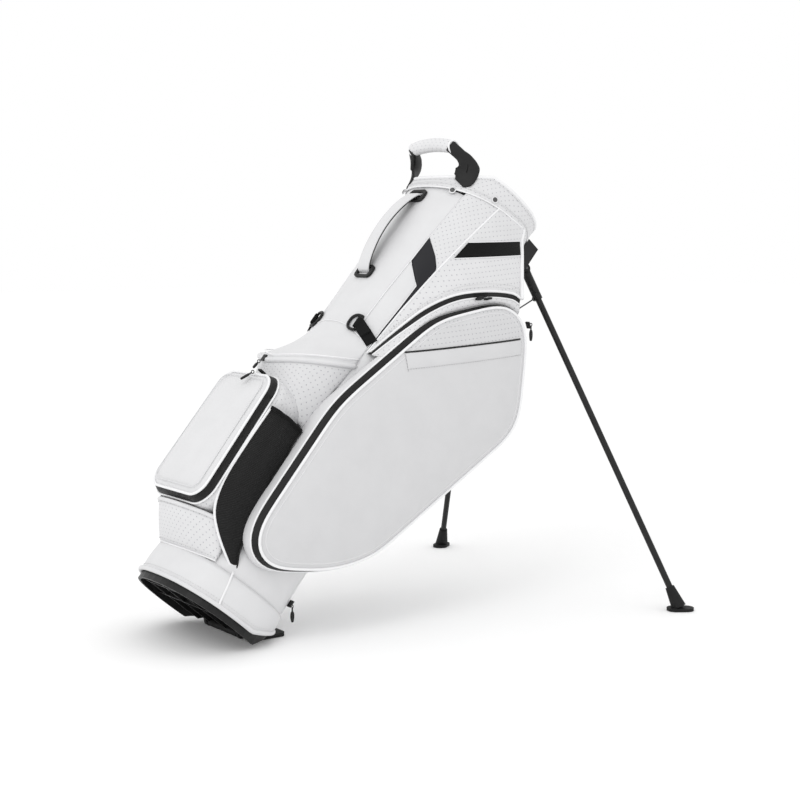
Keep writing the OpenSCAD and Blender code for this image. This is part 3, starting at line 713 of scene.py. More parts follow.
def shoulder_patch():
    bottom = smooth_path(ARC, CURVE_POINTS)
    right = smooth_path(SHOULDER_FRONT, CURVE_POINTS)
    u = np.linspace(0.505, 0.868, CURVE_POINTS)
    left = tube(seam(SEAM_SIDE, u), u, 0.002)
    t = np.linspace(98, 62, CURVE_POINTS)
    top = tube(t, cuff_low_u(t) + 0.006 * np.linspace(0, 1, CURVE_POINTS), 0.0025)
    top[0], top[-1] = left[-1], right[-1]
    bottom[0] = left[0]
    grid = coons(bottom, top, left, right)
    return Patch(grid)


SHOULDER = shoulder_patch()


# Corners of the black band on the shoulder as (v, u): spine end low and high, front end low and high
BAND_CORNERS = ((-0.0395, 0.7307), (-0.0336, 0.7721), (0.0700, 0.8300), (0.0555, 0.8510))


def band_rows(rows=8, cols=40):
    """The band between its four corners, laid on the shoulder."""
    grid = SHOULDER.p
    tree = face_surface(grid.reshape(-1, 3), grid_faces(grid.shape[0], grid.shape[1]))
    low_left, high_left, low_right, high_right = np.array(BAND_CORNERS)
    s = np.linspace(0, 1, cols)[:, None]
    strips = []
    for k in np.linspace(0, 1, rows):
        start = blend_between(low_left, high_left, k)
        end = blend_between(low_right, high_right, k)
        strips.append(on_face(tree, blend_between(start, end, s), 0.0012))
    return np.array(strips)


def build_shoulder():
    band = band_rows()
    for side, label in SIDES:
        add_shell("shoulder_skin_" + label, SHOULDER.p, WHITE_PERF, 0.0022, side=side,
                  uv=SHOULDER.p[:, :, [0, 2]], stands_for=("shoulder_panel_" + label,))
        add_shell("side_band_" + label, band, BAND, 0.0008, side=side,
                  stands_for=("side_bands",) if side == RIGHT else ())
        add_pipes("band_edges_" + label, [band[0], band[-1]], 0.0008, PIPING, side=side)
        add_pipes("shoulder_edge_" + label, [SHOULDER.p[:, -1] + np.array([0.002, 0.001, 0])], 0.0036, PIPING,
                  side=side)
        hem = SHOULDER.sample(np.linspace(0, 1, 60), 0.055 + 0 * np.linspace(0, 1, 60), 0.0012)
        hem_2 = SHOULDER.sample(np.linspace(0, 1, 60), 0.105 + 0 * np.linspace(0, 1, 60), 0.0012)
        add_pipes("shoulder_hem_" + label, [SHOULDER.p[0]], 0.0022, PIPING, side=side)
        add_stitches("shoulder_stitches_" + label, [hem, hem_2], side=side)
        # Closes the top of the pocket between the shoulder's front edge and the tube's front
        edge = SHOULDER.p[:, -1]
        u = np.linspace(0.735, 0.872, len(edge))
        inner = tube(np.linspace(46, 52, len(edge)), u, 0.001)
        k = np.linspace(0, 1, 10)[:, None, None]
        add_shell("shoulder_front_" + label, blend_between(edge[None], inner[None], k), WHITE, 0.002,
                  side=side)


# ---- side pockets ----

POCKET_CIRCLES = ((-0.038, 0.152, 0.052), (0.044, 0.203, 0.052), (0.097, 0.248, 0.043), (0.016, 0.370, 0.108),
                  (0.023, 0.588, 0.054), (0.109, 0.673, 0.066), (0.185, 0.572, 0.060))
POCKET_MIDDLE = np.array([0.060, 0.410])


def hull(points):
    """Convex outline of flat points, counter-clockwise."""
    ordered = sorted(map(tuple, points))

    def half(chain):
        out = []
        for p in chain:
            while len(out) > 1 and ((out[-1][0] - out[-2][0]) * (p[1] - out[-2][1])
                                    - (out[-1][1] - out[-2][1]) * (p[0] - out[-2][0])) <= 0:
                out.pop()
            out.append(p)
        return out[:-1]

    return np.array(half(ordered) + half(ordered[::-1]))


OUTLINE_SOFTNESS = 0.045
OUTLINE_GROWTH = 0.003
OUTLINE_POINTS = 720


def outline_curve(grow):
    turn = np.linspace(0, 2 * math.pi, 72, endpoint=False)
    reach = grow + OUTLINE_GROWTH
    points = [(v + (r + reach) * math.cos(a), u + (r + reach) * math.sin(a))
              for v, u, r in POCKET_CIRCLES for a in turn]
    curve = resample(hull(points), OUTLINE_POINTS, closed=True)
    # Sewn piping takes no sharp turns, so each point is drawn to the mean of its neighbours
    reach = int(OUTLINE_SOFTNESS * OUTLINE_POINTS)
    weights = np.hanning(2 * reach + 3)[1:-1]
    wrapped = np.vstack([curve[-reach:], curve, curve[:reach]])
    return np.stack([np.convolve(wrapped[:, k], weights / weights.sum(), "valid") for k in (0, 1)], 1)


POCKET_POINTS = 160
even = resample(outline_curve(0.0), POCKET_POINTS, closed=True) - POCKET_MIDDLE
POCKET_ANGLES = np.unwrap(np.arctan2(even[:, 1], even[:, 0]))


def outline(grow):
    """The pocket's outline grown by that much, at the same directions from its middle each time."""
    curve = outline_curve(grow) - POCKET_MIDDLE
    angle = np.arctan2(curve[:, 1], curve[:, 0])
    reach = np.hypot(curve[:, 0], curve[:, 1])
    order = np.argsort(angle)
    r = np.interp(POCKET_ANGLES, angle[order], reach[order], period=2 * math.pi)
    return POCKET_MIDDLE + np.stack([np.cos(POCKET_ANGLES), np.sin(POCKET_ANGLES)], 1) * r[:, None]


def ring_at(grow, w):
    flat = outline(grow)
    return np.stack([flat[:, 0], np.full(len(flat), w), flat[:, 1]], 1)


GUSSET_W = 0.1385
FACE_W = 0.1505
FACE_IN = -0.0105
FACE_CROWN = 0.019
FACE_RINGS = 26


def zip_back_edge(w):
    """Back edge of the pocket's zip: full width along the spine side, narrower round the front."""
    turned = np.degrees(np.abs(np.abs((POCKET_ANGLES + math.pi) % (2 * math.pi) - math.pi) - math.pi))
    share = 0.40 * np.clip((turned - 55) / 35, 0, 1)
    flat = blend_between(outline(0.0), outline(FACE_IN), share[:, None])
    return np.stack([flat[:, 0], np.full(len(flat), w), flat[:, 1]], 1)


def zip_rows(rear):
    """The zip's bevelled band from its back edge to the piping round the face."""
    back = zip_back_edge(rear)
    front = ring_at(FACE_IN, FACE_W - 0.0005)
    return np.array([blend_between(back, front, k) + np.array([0, 0.0026 * math.sin(math.pi * k), 0])
                     for k in np.linspace(0, 1, 6)])


def leg_side_w(v):
    """Distance from the middle plane at which the pocket stops, which leaves room for the leg."""
    return np.where(v < 0.130, 0.084, 0.084 + (v - 0.130) * 0.73 / 1.30)


def gusset_inner(outer):
    """Where the pocket's side wall ends: on the tube, or beside the leg, where the pocket stays open."""
    v = outer[:, 0]
    beside = np.clip(v / 0.10, -1, 1)
    v_in = np.where(v < 0, v * 0.86, v * (1 - 0.05 * beside))
    w_in = np.where(v_in < 0.098, tube_w(np.minimum(v_in, 0.098)) + 0.001, leg_side_w(v_in))
    w_in = np.where(v > 0.08, np.maximum(w_in, leg_side_w(v)), w_in)
    return np.stack([v_in, np.minimum(w_in, GUSSET_W - 0.004), outer[:, 2]], 1)


def relief(points, depth, scale, seed):
    """Soft uneven waves that cloth takes when it is sewn and filled."""
    offset = Vector((seed, seed * 1.7, 3.1))
    return np.array([noise.noise(Vector(p) * scale + offset) * depth for p in points])


def face_points():
    edge = outline(FACE_IN)
    points, flat = [], []
    for k in range(FACE_RINGS):
        r = 1 - k / FACE_RINGS
        ring = POCKET_MIDDLE + (edge - POCKET_MIDDLE) * r
        w = FACE_W + FACE_CROWN * (1 - r ** 2.7) ** 0.85
        points.append(np.stack([ring[:, 0], np.full(len(ring), w), ring[:, 1]], 1))
        flat.append(ring)
    points = np.vstack([*points, [[POCKET_MIDDLE[0], FACE_W + FACE_CROWN, POCKET_MIDDLE[1]]]])
    flat = np.vstack([*flat, [POCKET_MIDDLE]])
    return points, flat, dome_faces(FACE_RINGS, POCKET_POINTS)


def face_surface(points, faces):
    return BVHTree.FromPolygons([tuple(p) for p in points], faces)


def on_face(tree, flat, lift=0.0):
    """Points on the pocket's face at those flat (v, u) places."""
    out = []
    for v, u in flat:
        hit = tree.ray_cast(Vector((v, 0.4, u)), Vector((0, -1, 0)))
        w = hit[0].y if hit[0] is not None else FACE_W
        out.append((v, w + lift, u))
    return np.array(out)


def build_side_pockets():
    points, flat, faces = face_points()
    fullness = np.clip((points[:, 1] - FACE_W) / FACE_CROWN, 0, 1)
    points[:, 1] += relief(points, 0.0022, 9.0, 4.0) * fullness
    tree = face_surface(points, faces)
    zip_band = zip_rows(GUSSET_W)
    wall = []
    outer = zip_back_edge(GUSSET_W)
    inner = gusset_inner(outer)
    for k in np.linspace(0, 1, 9):
        ring = blend_between(outer, inner, k)
        swell = 0.004 * math.sin(math.pi * k)
        away = ring[:, [0, 2]] - POCKET_MIDDLE
        away /= np.linalg.norm(away, axis=1)[:, None]
        ring[:, 0] += away[:, 0] * swell
        ring[:, 2] += away[:, 1] * swell
        wall.append(ring)
    wall = np.array(wall)
    for side, label in SIDES:
        face = add_mesh("pocket_face_" + label, points, faces, POCKET_FACE_PAINTED_SHADE, side=side, uv=flat,
                        stands_for=("apparel_face_" + label,))
        add_shell("pocket_zip_" + label, zip_band, ZIP, 0.0, loop=True, side=side,
                  stands_for=("apparel_zip_" + label,))
        add_shell("pocket_wall_" + label, wall, WHITE, 0.002, loop=True, side=side,
                  stands_for=("apparel_gusset_" + label,))
        add_pipes("pocket_piping_" + label, [ring_at(FACE_IN + 0.001, FACE_W + 0.0008)], 0.0024, PIPING,
                  closed=True, side=side)
        add_pipes("pocket_rear_piping_" + label, [zip_back_edge(GUSSET_W - 0.0005)], 0.0016, PIPING,
                  closed=True, side=side)
        inset = outline(FACE_IN - 0.0085)
        add_pipes("pocket_inner_fold_" + label, [on_face(tree, inset, -0.0004)], 0.0012, WHITE,
                  closed=True, side=side)
        v = np.linspace(-0.041, 0.141, 50)
        slit = np.stack([v, (FACE_LEVEL - FACE_LINE[0] * v) / FACE_LINE[1]], 1)
        add_pipes("pocket_slit_" + label, [on_face(tree, slit, 0.0006)], 0.0014, ZIP, side=side)
        normal = np.array(FACE_LINE[:2])
        hem = slit - normal * 0.028
        rows = [on_face(tree, slit - normal * d, lift) for d, lift in
                ((0.0018, 0.0010), (0.004, 0.0016), (0.014, 0.0014), (0.025, 0.0010), (0.0275, 0.0002))]
        add_shell("pocket_flap_" + label, np.array(rows), POCKET_FLAP_PAINTED_SHADE, 0.0, side=side)
        short = slit[0] - normal * np.linspace(0.001, 0.030, 8)[:, None]
        add_stitches("pocket_stitches_" + label,
                     [on_face(tree, hem, 0.0011), on_face(tree, short, 0.0008)],
                     DARK_THREAD, side=side)


# ---- strip between the upper arc and the side pocket ----


def garage_rows():
    """Ruled rows from the upper arc down to the side pocket's rear edge."""
    arc = smooth_path(ARC, 60)
    ring = zip_back_edge(GUSSET_W + 0.001)
    top = ring[(ring[:, 2] > 0.47)]
    angle = np.arctan2(top[:, 2] - 0.60, top[:, 0] - 0.06)
    order = np.argsort(-(np.mod(angle + math.pi / 2, 2 * math.pi)))
    ordered = top[order]
    first = np.argmin(np.linalg.norm(ordered - np.array([-0.058, GUSSET_W, 0.500]), axis=1))
    last = np.argmin(np.linalg.norm(ordered - np.array([0.125, GUSSET_W, 0.737]), axis=1))
    lower = resample(ordered[min(first, last):max(first, last) + 1], 60)
    if np.linalg.norm(lower[0] - arc[0]) > np.linalg.norm(lower[-1] - arc[0]):
        lower = lower[::-1]
    return arc, lower


ARC_ZIP_WIDTH = 0.0115


def build_arc_zips():
    arc, lower = garage_rows()
    gap = np.linalg.norm(lower - arc, axis=1)
    share = np.clip(ARC_ZIP_WIDTH / gap, 0.2, 0.62)[None, :, None]
    for side, label in SIDES:
        k = np.linspace(0, 1, 6)[:, None, None]
        sunk = -0.0012 * np.sin(np.pi * k)
        band = blend_between(arc[None], lower[None], k * share) + np.array([0, 1, 0]) * sunk
        add_shell("upper_zip_" + label, band, ZIP, 0.0, side=side)
        rows = blend_between(arc[None], lower[None], share + (1 - share) * k)
        rows[:, :, 1] += 0.003 * np.sin(np.pi * k[:, :, 0])
        add_shell("upper_strip_" + label, rows, WHITE_PERF, 0.0015, side=side)
        add_pipes("upper_zip_piping_" + label, [rows[0] + np.array([0, 0.0008, 0])], 0.0015, PIPING,
                  side=side)


# ---- valuables pocket ----

LIP_END = 129.0


def lip_curve(count, side_share=1.0):
    """The rolled edge under the bulge on the spine, from the middle out to the side seam."""
    t = np.linspace(180, LIP_END, count)
    s = (180 - t) / (180 - LIP_END)
    u = 0.408 + 0.066 * s ** 1.35
    off = 0.057 * (1 - s ** 1.9) + 0.002
    return t, u, off


def both_ways(rows):
    """Rows from the middle plane outward, mirrored so that they run from side to side."""
    mirrored = rows[:, ::-1].copy()
    mirrored[:, :, 1] *= -1
    return np.concatenate([mirrored[:, :-1], rows], axis=1)


def build_valuables():
    t, lip_u, lip_off = lip_curve(30)
    s = (180 - t) / (180 - LIP_END)
    top_u = 0.536 - 0.028 * s ** 2
    rows = []
    for k in np.linspace(0, 1, 22):
        u = blend_between(top_u, lip_u, k)
        rows.append(tube(t, u, 0.0016 + (lip_off - 0.0016) * k ** 1.7))
    hump = both_ways(np.array(rows))
    hump += (np.array([-1.0, 0, 0]) * relief(hump.reshape(-1, 3), 0.0014, 16.0, 9.0)[:,
                                                                                     None]).reshape(hump.shape)
    add_shell("valuables_skin", hump, WHITE, 0.002, stands_for=("valuables_pocket",))
    lip = both_ways(np.array([tube(t, lip_u - 0.003, lip_off - 0.001)]))[0]
    add_pipes("valuables_welt", [lip], 0.0046, WHITE, around=10)
    fold = both_ways(np.array([tube(t, lip_u + 0.010, lip_off * 0.93 + 0.0012)]))[0]
    add_pipes("valuables_fold", [fold], 0.0011, PIPING)
    add_pipes("valuables_top_seam", [hump[0]], 0.0008, PIPING)
    low_u = np.interp(s, (0, 0.6, 1), (0.345, 0.343, 0.332))
    low_off = np.interp(s, (0, 0.45, 1), (0.046, 0.034, 0.003))
    low_t = 180 - (180 - 137) * s
    rows = []
    for k in np.linspace(0, 1, 16):
        tt = blend_between(t, low_t, k)
        off = blend_between(lip_off - 0.002, low_off, k) - 0.006 * math.sin(math.pi * k) * (1 - s)
        rows.append(tube(tt, blend_between(lip_u - 0.006, low_u, k), off))
    under = both_ways(np.array(rows))
    add_shell("valuables_under", under, WHITE_PERF, 0.002)


# ---- ball pocket ----

BALL_LOW, BALL_HIGH, BALL_HW = 0.128, 0.374, 0.085
BALL_D = 0.168
BALL_CROWN = 0.0155


def rounded_box(grow, radius, count=144):
    """Outline of the ball pocket seen from the spine, as (w, u)."""
    hw, low, high, r = BALL_HW + grow, BALL_LOW - grow, BALL_HIGH + grow, radius + grow
    corners = ((hw - r, high - r, 0), (-hw + r, high - r, 90), (-hw + r, low + r, 180),
               (hw - r, low + r, 270))
    points = []
    for w, u, start in corners:
        for a in np.radians(np.linspace(start, start + 90, 12)):
            points.append((w + r * math.cos(a), u + r * math.sin(a)))
    return resample(points, count, closed=True)


def ball_ring(grow, d):
    """The pocket's outline at that depth, a little wider toward its foot."""
    flat = rounded_box(grow, 0.036)
    lean_in = (flat[:, 1] - BALL_LOW) / (BALL_HIGH - BALL_LOW)
    wider = 1 + 0.10 * (0.75 - lean_in)
    return np.stack([-(d + 0.006 * (lean_in - 0.5)), flat[:, 0] * wider, flat[:, 1]], 1)


def build_ball_pocket():
    wall = np.array([ball_ring(-0.004, 0.090), ball_ring(0.0, 0.115), ball_ring(0.002, 0.140),
                     ball_ring(0.0, 0.158)])
    band = np.array([ball_ring(0.0, 0.158), ball_ring(-0.002, 0.164), ball_ring(-0.005, 0.1685),
                     ball_ring(-0.008, 0.170)])
    add_shell("ball_wall", wall, WHITE_PERF, 0.002, loop=True,
              stands_for=("ball_gusset",))
    add_shell("ball_zip_band", band, ZIP, 0.0, loop=True, stands_for=("ball_zip",))
    edge = ball_ring(-0.008, 0.170)
    middle = np.array([edge[:, 0].mean(), 0.0, (BALL_LOW + BALL_HIGH) / 2])
    rings = 20
    points = []
    for k in range(rings):
        r = 1 - k / rings
        ring = middle + (edge - middle) * r
        ring[:, 0] -= BALL_CROWN * (1 - r ** 3.2) ** 0.8
        points.append(ring)
    points = np.vstack([*points, middle + np.array([[-BALL_CROWN, 0, 0]])])
    fullness = np.clip((np.abs(points[:, 0]) - BALL_D) / 0.012, 0, 1)
    points[:, 0] -= relief(points, 0.0018, 14.0, 2.0) * fullness
    face = add_mesh("ball_face_skin", points, dome_faces(rings, len(edge)), WHITE, uv=points[:, 1:],
                    stands_for=("ball_face",))
    add_pipes("ball_piping", [ball_ring(-0.007, 0.1712)], 0.0023, PIPING, closed=True)
    add_pipes("ball_rear_piping", [ball_ring(0.001, 0.1565)], 0.0014, PIPING, closed=True)
    inset = ball_ring(-0.017, 0.178)
    add_pipes("ball_inner_fold", [inset], 0.0009, WHITE, closed=True)


# ---- mesh pocket, sleeve and collar ----

# Edges of the mesh from its pointed foot up, as (v, w, u)
MESH_SPINE_EDGE = ((-0.052, 0.106, 0.076), (-0.068, 0.101, 0.084), (-0.108, 0.094, 0.110),
                   (-0.136, 0.0915, 0.138),
                   (-0.150, 0.0905, 0.184), (-0.153, 0.0895, 0.250), (-0.153, 0.0890, 0.322))
MESH_SIDE_EDGE = ((-0.050, 0.108, 0.0755), (-0.056, 0.108, 0.088), (-0.066, 0.1085, 0.107),
                  (-0.082, 0.109, 0.168),
                  (-0.089, 0.109, 0.202), (-0.092, 0.109, 0.266), (-0.096, 0.109, 0.320))


def mesh_rows():
    """The stretched mesh, from its pointed foot up to its bound edge."""
    rows = []
    edges = zip(smooth_path(MESH_SPINE_EDGE, 44), smooth_path(MESH_SIDE_EDGE, 44), np.linspace(0, 1, 44))
    for a, b, k in edges:
        b = b + np.array([0.0016 * math.sin(26 * k) * k, 0, 0])
        s = np.linspace(0, 1, 16)[:, None]
        swell = 0.010 * np.sin(np.pi * s) * math.sin(math.pi / 2 * min(1, k * 1.3))
        folds = 0.0018 * np.sin(np.pi * 5 * s + 5 * k) * np.sin(np.pi * s) * k
        rows.append(blend_between(a, b, s) + (swell + folds) * np.array([-0.62, 0.78, 0]))
    return np.array(rows)


def build_low_pockets():
    for side, label in SIDES:
        rows = mesh_rows()
        sheet = add_shell("mesh_net_" + label, rows, MESH, 0.0, side=side,
                          stands_for=("mesh_pocket_" + label,))
        edge = add_pipes("mesh_binding_" + label, [rows[-1] + np.array([-0.001, 0.0005, 0])], 0.0034, WEBBING,
                         side=side)
        add_pipes("mesh_piping_spine_" + label, [rows[:, 0] + np.array([-0.001, -0.001, 0])], 0.0022, PIPING,
                  side=side)
        add_pipes("mesh_side_hem_" + label, [rows[:, -1] + np.array([0.001, 0.0008, 0])], 0.0014, MESH,
                  side=side)
    build_sleeve()


def build_sleeve():
    """Perforated pocket across the foot of the spine, with a rolled rim."""
    half = 44
    t = np.linspace(180 - half, 180 + half, 60)
    arch = np.clip(np.cos(np.radians((t - 180) * 90 / half)), 0, 1)
    rim_height = 0.117 + 0.014 * (1 - arch)
    seam_height = 0.066 + 0.006 * (1 - arch)
    rows = []
    for k in np.linspace(0, 1, 16):
        off = 0.004 + 0.052 * arch ** 0.5 * (k ** 0.75)
        rows.append(tube(t, blend_between(seam_height, rim_height, k), off))
    sleeve = np.array(rows)
    add_shell("sleeve_skin", sleeve, WHITE_PERF, 0.0024, stands_for=("sleeve_pocket",))
    add_pipes("sleeve_rim", [sleeve[-1] + np.array([0.0005, 0, 0.001])], 0.0036, WHITE, around=10)
    add_stitches("sleeve_stitches", [sleeve[-2] + np.array([-0.0012, 0, 0]),
                                     sleeve[1] + np.array([-0.001, 0, 0])])
    add_pipes("sleeve_seam", [sleeve[0]], 0.0013, PIPING)


def collar_low_u(t):
    k = np.clip((np.cos(np.radians(t)) - 0.2) / 0.8, 0, 1)
    return 0.013 + 0.036 * k


def build_collar():
    t = np.linspace(0, 360, 145)[:-1]
    low = collar_low_u(t)
    rows = [tube(t, blend_between(low, 0.068, k), 0.0034 + 0.0015 * math.sin(math.pi * k))
            for k in np.linspace(0, 1, 9)]
    add_shell("collar_skin", np.array(rows), WHITE, 0.003, loop=True,
              stands_for=("base_collar",))
    add_pipes("collar_welt", [tube(t, low + 0.002, 0.0046)], 0.0040, WHITE, closed=True, around=10)
    stitch_t = np.linspace(0, 360, 200)
    add_stitches("collar_stitches", [tube(stitch_t, collar_low_u(stitch_t) + 0.0105, 0.0045)])
    for side, label in SIDES:
        u = np.linspace(0.015, 0.072, 16)
        add_pipes("collar_seam_" + label, [tube(np.linspace(113, 118, 16), u, 0.0052)], 0.0018, PIPING,
                  side=side)


# ---- cuff and handles ----


def build_cuff():
    t = np.linspace(-180, 180, 181)[:-1]
    low, high = cuff_low_u(t), rim_u(t)
    share = np.linspace(0, 1, 12)[:, None]
    heights = blend_between(low[None], high[None], share)
    add_shell("cuff_skin", tube(t[None], heights, 0.0034), [WHITE_PERF, LINING], 0.004, loop=True,
              uv=flat_round(t[None], heights), stands_for=("top_cuff",))
    add_pipes("cuff_rim", [tube(t, high - 0.0005, 0.0022)], 0.0030, PIPING, closed=True, around=10)
    add_pipes("cuff_rim_lining", [tube(t, high - 0.0008, -0.0022)], 0.0028, LINING, closed=True, around=10)
    add_pipes("cuff_low_hem", [tube(t, low + 0.0006, 0.0026)], 0.0014, PIPING, closed=True)
    hem = tube(t, low + 0.0075, 0.0038)
    add_stitches("cuff_stitches", [hem, tube(t, high - 0.0065, 0.0038)])
    add_pipes("cuff_fold", [tube(t, low + 0.0105, 0.0036)], 0.0009, WHITE, closed=True)
    build_rivets()


def build_rivets():
    """Two dark rivets on each side of the cuff, each with a light washer under its head."""
    heads, washers = [], []
    for side in (RIGHT, LEFT):
        for u, t in ((0.840, 147), (0.866, 107)):
            middle = tube(t, u, 0.0046)
            out = tube(t, u, 0.0300) - middle
            out /= np.linalg.norm(out)
            flip = np.array([1, -side, 1])
            middle, out = middle * flip, out * flip
            heads.append(tube_mesh(middle + out * np.array([[0], [0.0012], [0.0024], [0.0030]]),
                                   (0.0044, 0.0044, 0.0036, 0.0014), around=20))
            washers.append(tube_mesh(middle + out * np.array([[-0.0004], [0.0006]]), 0.0062, around=20))
    points, faces = join_parts(heads)
    add_mesh("rivet_heads", points, faces, STEEL, outward=False, stands_for=("cuff_rivets",))
    points, faces = join_parts(washers)
    add_mesh("rivet_washers", points, faces, PIPING, outward=False)


def ribbon_mesh(path, across, half_width, thick, rounds=10):
    """A soft-edged flat bar along a path: across is its width direction at each point."""
    path = np.asarray(path, float)
    tangent = np.gradient(path, axis=0)
    tangent /= np.linalg.norm(tangent, axis=1)[:, None]
    across = np.asarray(across, float)
    across = across - tangent * (across * tangent).sum(1)[:, None]
    across /= np.linalg.norm(across, axis=1)[:, None]
    up = np.cross(tangent, across)
    half_width = np.broadcast_to(np.asarray(half_width, float), (len(path),))
    thick = np.broadcast_to(np.asarray(thick, float), (len(path),))
    turn = np.linspace(0, 2 * math.pi, 2 * rounds, endpoint=False)
    x = signed_power(np.cos(turn), 0.45)
    y = signed_power(np.sin(turn), 0.75)
    ring = (x[None, :, None] * across[:, None] * half_width[:, None, None]
            + y[None, :, None] * up[:, None] * thick[:, None, None] / 2)
    points = path[:, None] + ring
    count = 2 * rounds
    faces = grid_faces(len(path), count, True)
    faces += end_faces(len(path), count)
    uv = np.stack([np.broadcast_to(x[None] * half_width[:, None], points.shape[:2]),
                   np.repeat(np.concatenate([[0], np.cumsum(np.linalg.norm(np.diff(path, axis=0),
                                                                           axis=1))])[:, None],
                             count, 1)], 2)
    return points.reshape(-1, 3), faces, uv.reshape(-1, 2)


GRIP_V, GRIP_U, GRIP_HW = -0.137, 0.905, 0.058
GRIP_AROUND = 24


def build_lift_handle():
    s = np.linspace(-1, 1, 44)
    w = s * GRIP_HW
    swell = 1 - 0.10 * np.abs(s) ** 6
    path = np.stack([np.full_like(w, GRIP_V) + 0.004 * s ** 2, w, GRIP_U + 0.004 * (1 - s ** 2)], 1)
    turn = np.linspace(0, 2 * math.pi, GRIP_AROUND, endpoint=False)
    wrinkle = 1 + 0.012 * np.sin(9 * s)[:, None] * np.cos(turn - 1.0)[None]
    radius = 0.0128 * swell[:, None] * wrinkle
    points = np.stack([path[:, 0][:, None] + radius * np.cos(turn)[None],
                       np.repeat(path[:, 1][:, None], GRIP_AROUND, 1),
                       path[:, 2][:, None] + radius * np.sin(turn)[None] * 0.92], 2)
    faces = grid_faces(len(w), GRIP_AROUND, True)
    faces += end_faces(len(w), GRIP_AROUND)
    uv = np.stack([np.repeat(w[:, None], GRIP_AROUND, 1), np.repeat((turn * 0.0135)[None], len(w), 0)], 2)
    grip = add_mesh("lift_grip_pad", points, faces, GRIP_WHITE, uv=uv, outward=False,
                    stands_for=("lift_handle_grip",))
    seam_line = points[2:-2, 17]
    add_stitches("lift_grip_stitches", [seam_line], slot="grip_white")
    add_pipes("lift_grip_piping", [points[0], points[-1]], 0.0016, PIPING, closed=True)
    for side, label in SIDES:
        path = smooth_path(((-0.137, 0.052, 0.9045), (-0.122, 0.0625, 0.9015), (-0.106, 0.0715, 0.8975),
                            (-0.0960, 0.0755, 0.889), (-0.0915, 0.0765, 0.877), (-0.0905, 0.0750, 0.866),
                            (-0.0915, 0.0720, 0.858)), 40)
        k = np.linspace(0, 1, 40)
        tangent = np.gradient(path, axis=0)
        facing = np.stack([blend_between(-0.35, -0.83, k), blend_between(0.94, 0.52, k), 0.1 * k], 1)
        across = np.cross(facing, tangent)
        width = np.interp(k, (0, 0.30, 0.48, 0.62, 0.9, 1), (0.0098, 0.0105, 0.015, 0.0215, 0.0205, 0.012))
        thick = np.interp(k, (0, 0.3, 0.7, 1), (0.0165, 0.013, 0.008, 0.005))
        mesh_points, mesh_faces, mesh_uv = ribbon_mesh(path, across, width, thick)
        add_mesh("lift_arm_" + label, mesh_points, mesh_faces, SOFT_PLASTIC, side=side, uv=mesh_uv,
                 outward=False, stands_for=("lift_handle_frame",) if side == RIGHT else ())
        slot_line = path[14:30] + facing[14:30] * 0.0048
        add_pipes("lift_arm_groove_" + label, [slot_line], 0.0008, LINING, side=side)


def build_grab_handle():
    k = np.linspace(0, 1, 50)
    arch = 0.024 * np.sin(np.pi * k) ** 0.55
    v = -SPINE_D - 0.001 - arch
    u = blend_between(0.644, 0.820, k)
    path = np.stack([v, -0.003 + 0 * k, u], 1)
    across = np.tile([0.0, 1.0, 0.0], (len(path), 1))
    points, faces, uv = ribbon_mesh(path, across, 0.0155 - 0.0018 * np.sin(np.pi * k) ** 2, 0.0052)
    strap = add_mesh("grab_strap", points, faces, WHITE, uv=uv, outward=False,
                     stands_for=("grab_handle",))
    under = path + np.array([0.0032, 0, 0])
    points, faces, uv = ribbon_mesh(under, across, 0.0148 - 0.0018 * np.sin(np.pi * k) ** 2, 0.0026)
    add_mesh("grab_strap_lining", points, faces, WEBBING, uv=uv, outward=False)
    edge = [path + np.array([-0.0022, w, 0]) for w in (-0.0105, 0.0105)]
    add_stitches("grab_strap_stitches", edge)


# ---- straps, pulls and small trim ----


def build_ring_straps():
    for side, label in SIDES:
        t = np.linspace(149.5, 127.5, 20)
        u = np.linspace(0.5405, 0.520, 20)
        path = tube(t, u, 0.0034)
        fold = smooth_path((path[0] + np.array([-0.001, 0.000, 0.0]),
                            path[0] + np.array([-0.0055, -0.0032, 0.0]),
                            path[0] + np.array([-0.0068, 0.0006, 0.0]),
                            path[0] + np.array([-0.0032, 0.0042, 0]),
                            tube(146, 0.5380, 0.0062), tube(137, 0.5290, 0.0062)), 26)
        across = np.tile([0.0, 0.0, 1.0], (len(path), 1))
        parts = [ribbon_mesh(path, across, 0.0105, 0.0018)[:2],
                 ribbon_mesh(fold, np.tile([0.0, 0.0, 1.0], (len(fold), 1)), 0.0100, 0.0018)[:2]]
        points, faces = join_parts(parts)
        add_mesh("ring_webbing_" + label, points, faces, WEBBING, side=side, uv=points[:, [1, 2]],
                 outward=False, stands_for=("d_ring_webbing",) if side == RIGHT else ())


def from_row(points):
    """Row points back into bag points, w counted toward the right side."""
    p = np.asarray(points, float).reshape(-1, 3) - np.array(AXIS_FOOT)
    v = p[:, 0] * math.cos(LEAN) - p[:, 2] * math.sin(LEAN)
    u = p[:, 0] * math.sin(LEAN) + p[:, 2] * math.cos(LEAN)
    return np.stack([v, -p[:, 1], u], 1)


def node_middle(node):
    """Middle of a CAD node's box, as a bag point."""
    low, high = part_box(node)
    corners = [(x, y, z) for x in (low[0], high[0]) for y in (low[1], high[1]) for z in (low[2], high[2])]
    return from_row(corners).mean(0)


def hinge_place(body):
    """Where the body's hinge is, as a bag point."""
    joint = next(joint for joint in frame["joints"] if joint["child"] == body)
    return from_row(joint["pos_m"])[0]


PULLS = (("right_zip_pull", "apparel_pull_right"), ("left_zip_pull", "apparel_pull_left"),
         ("right_cord_pull", "apparel_cord_right"), ("left_cord_pull", "apparel_cord_left"),
         ("ball_zip_pull", "ball_pull"), ("valuables_zip_pull", "valuables_pull"),
         ("base_zip_pull", "base_pull"))


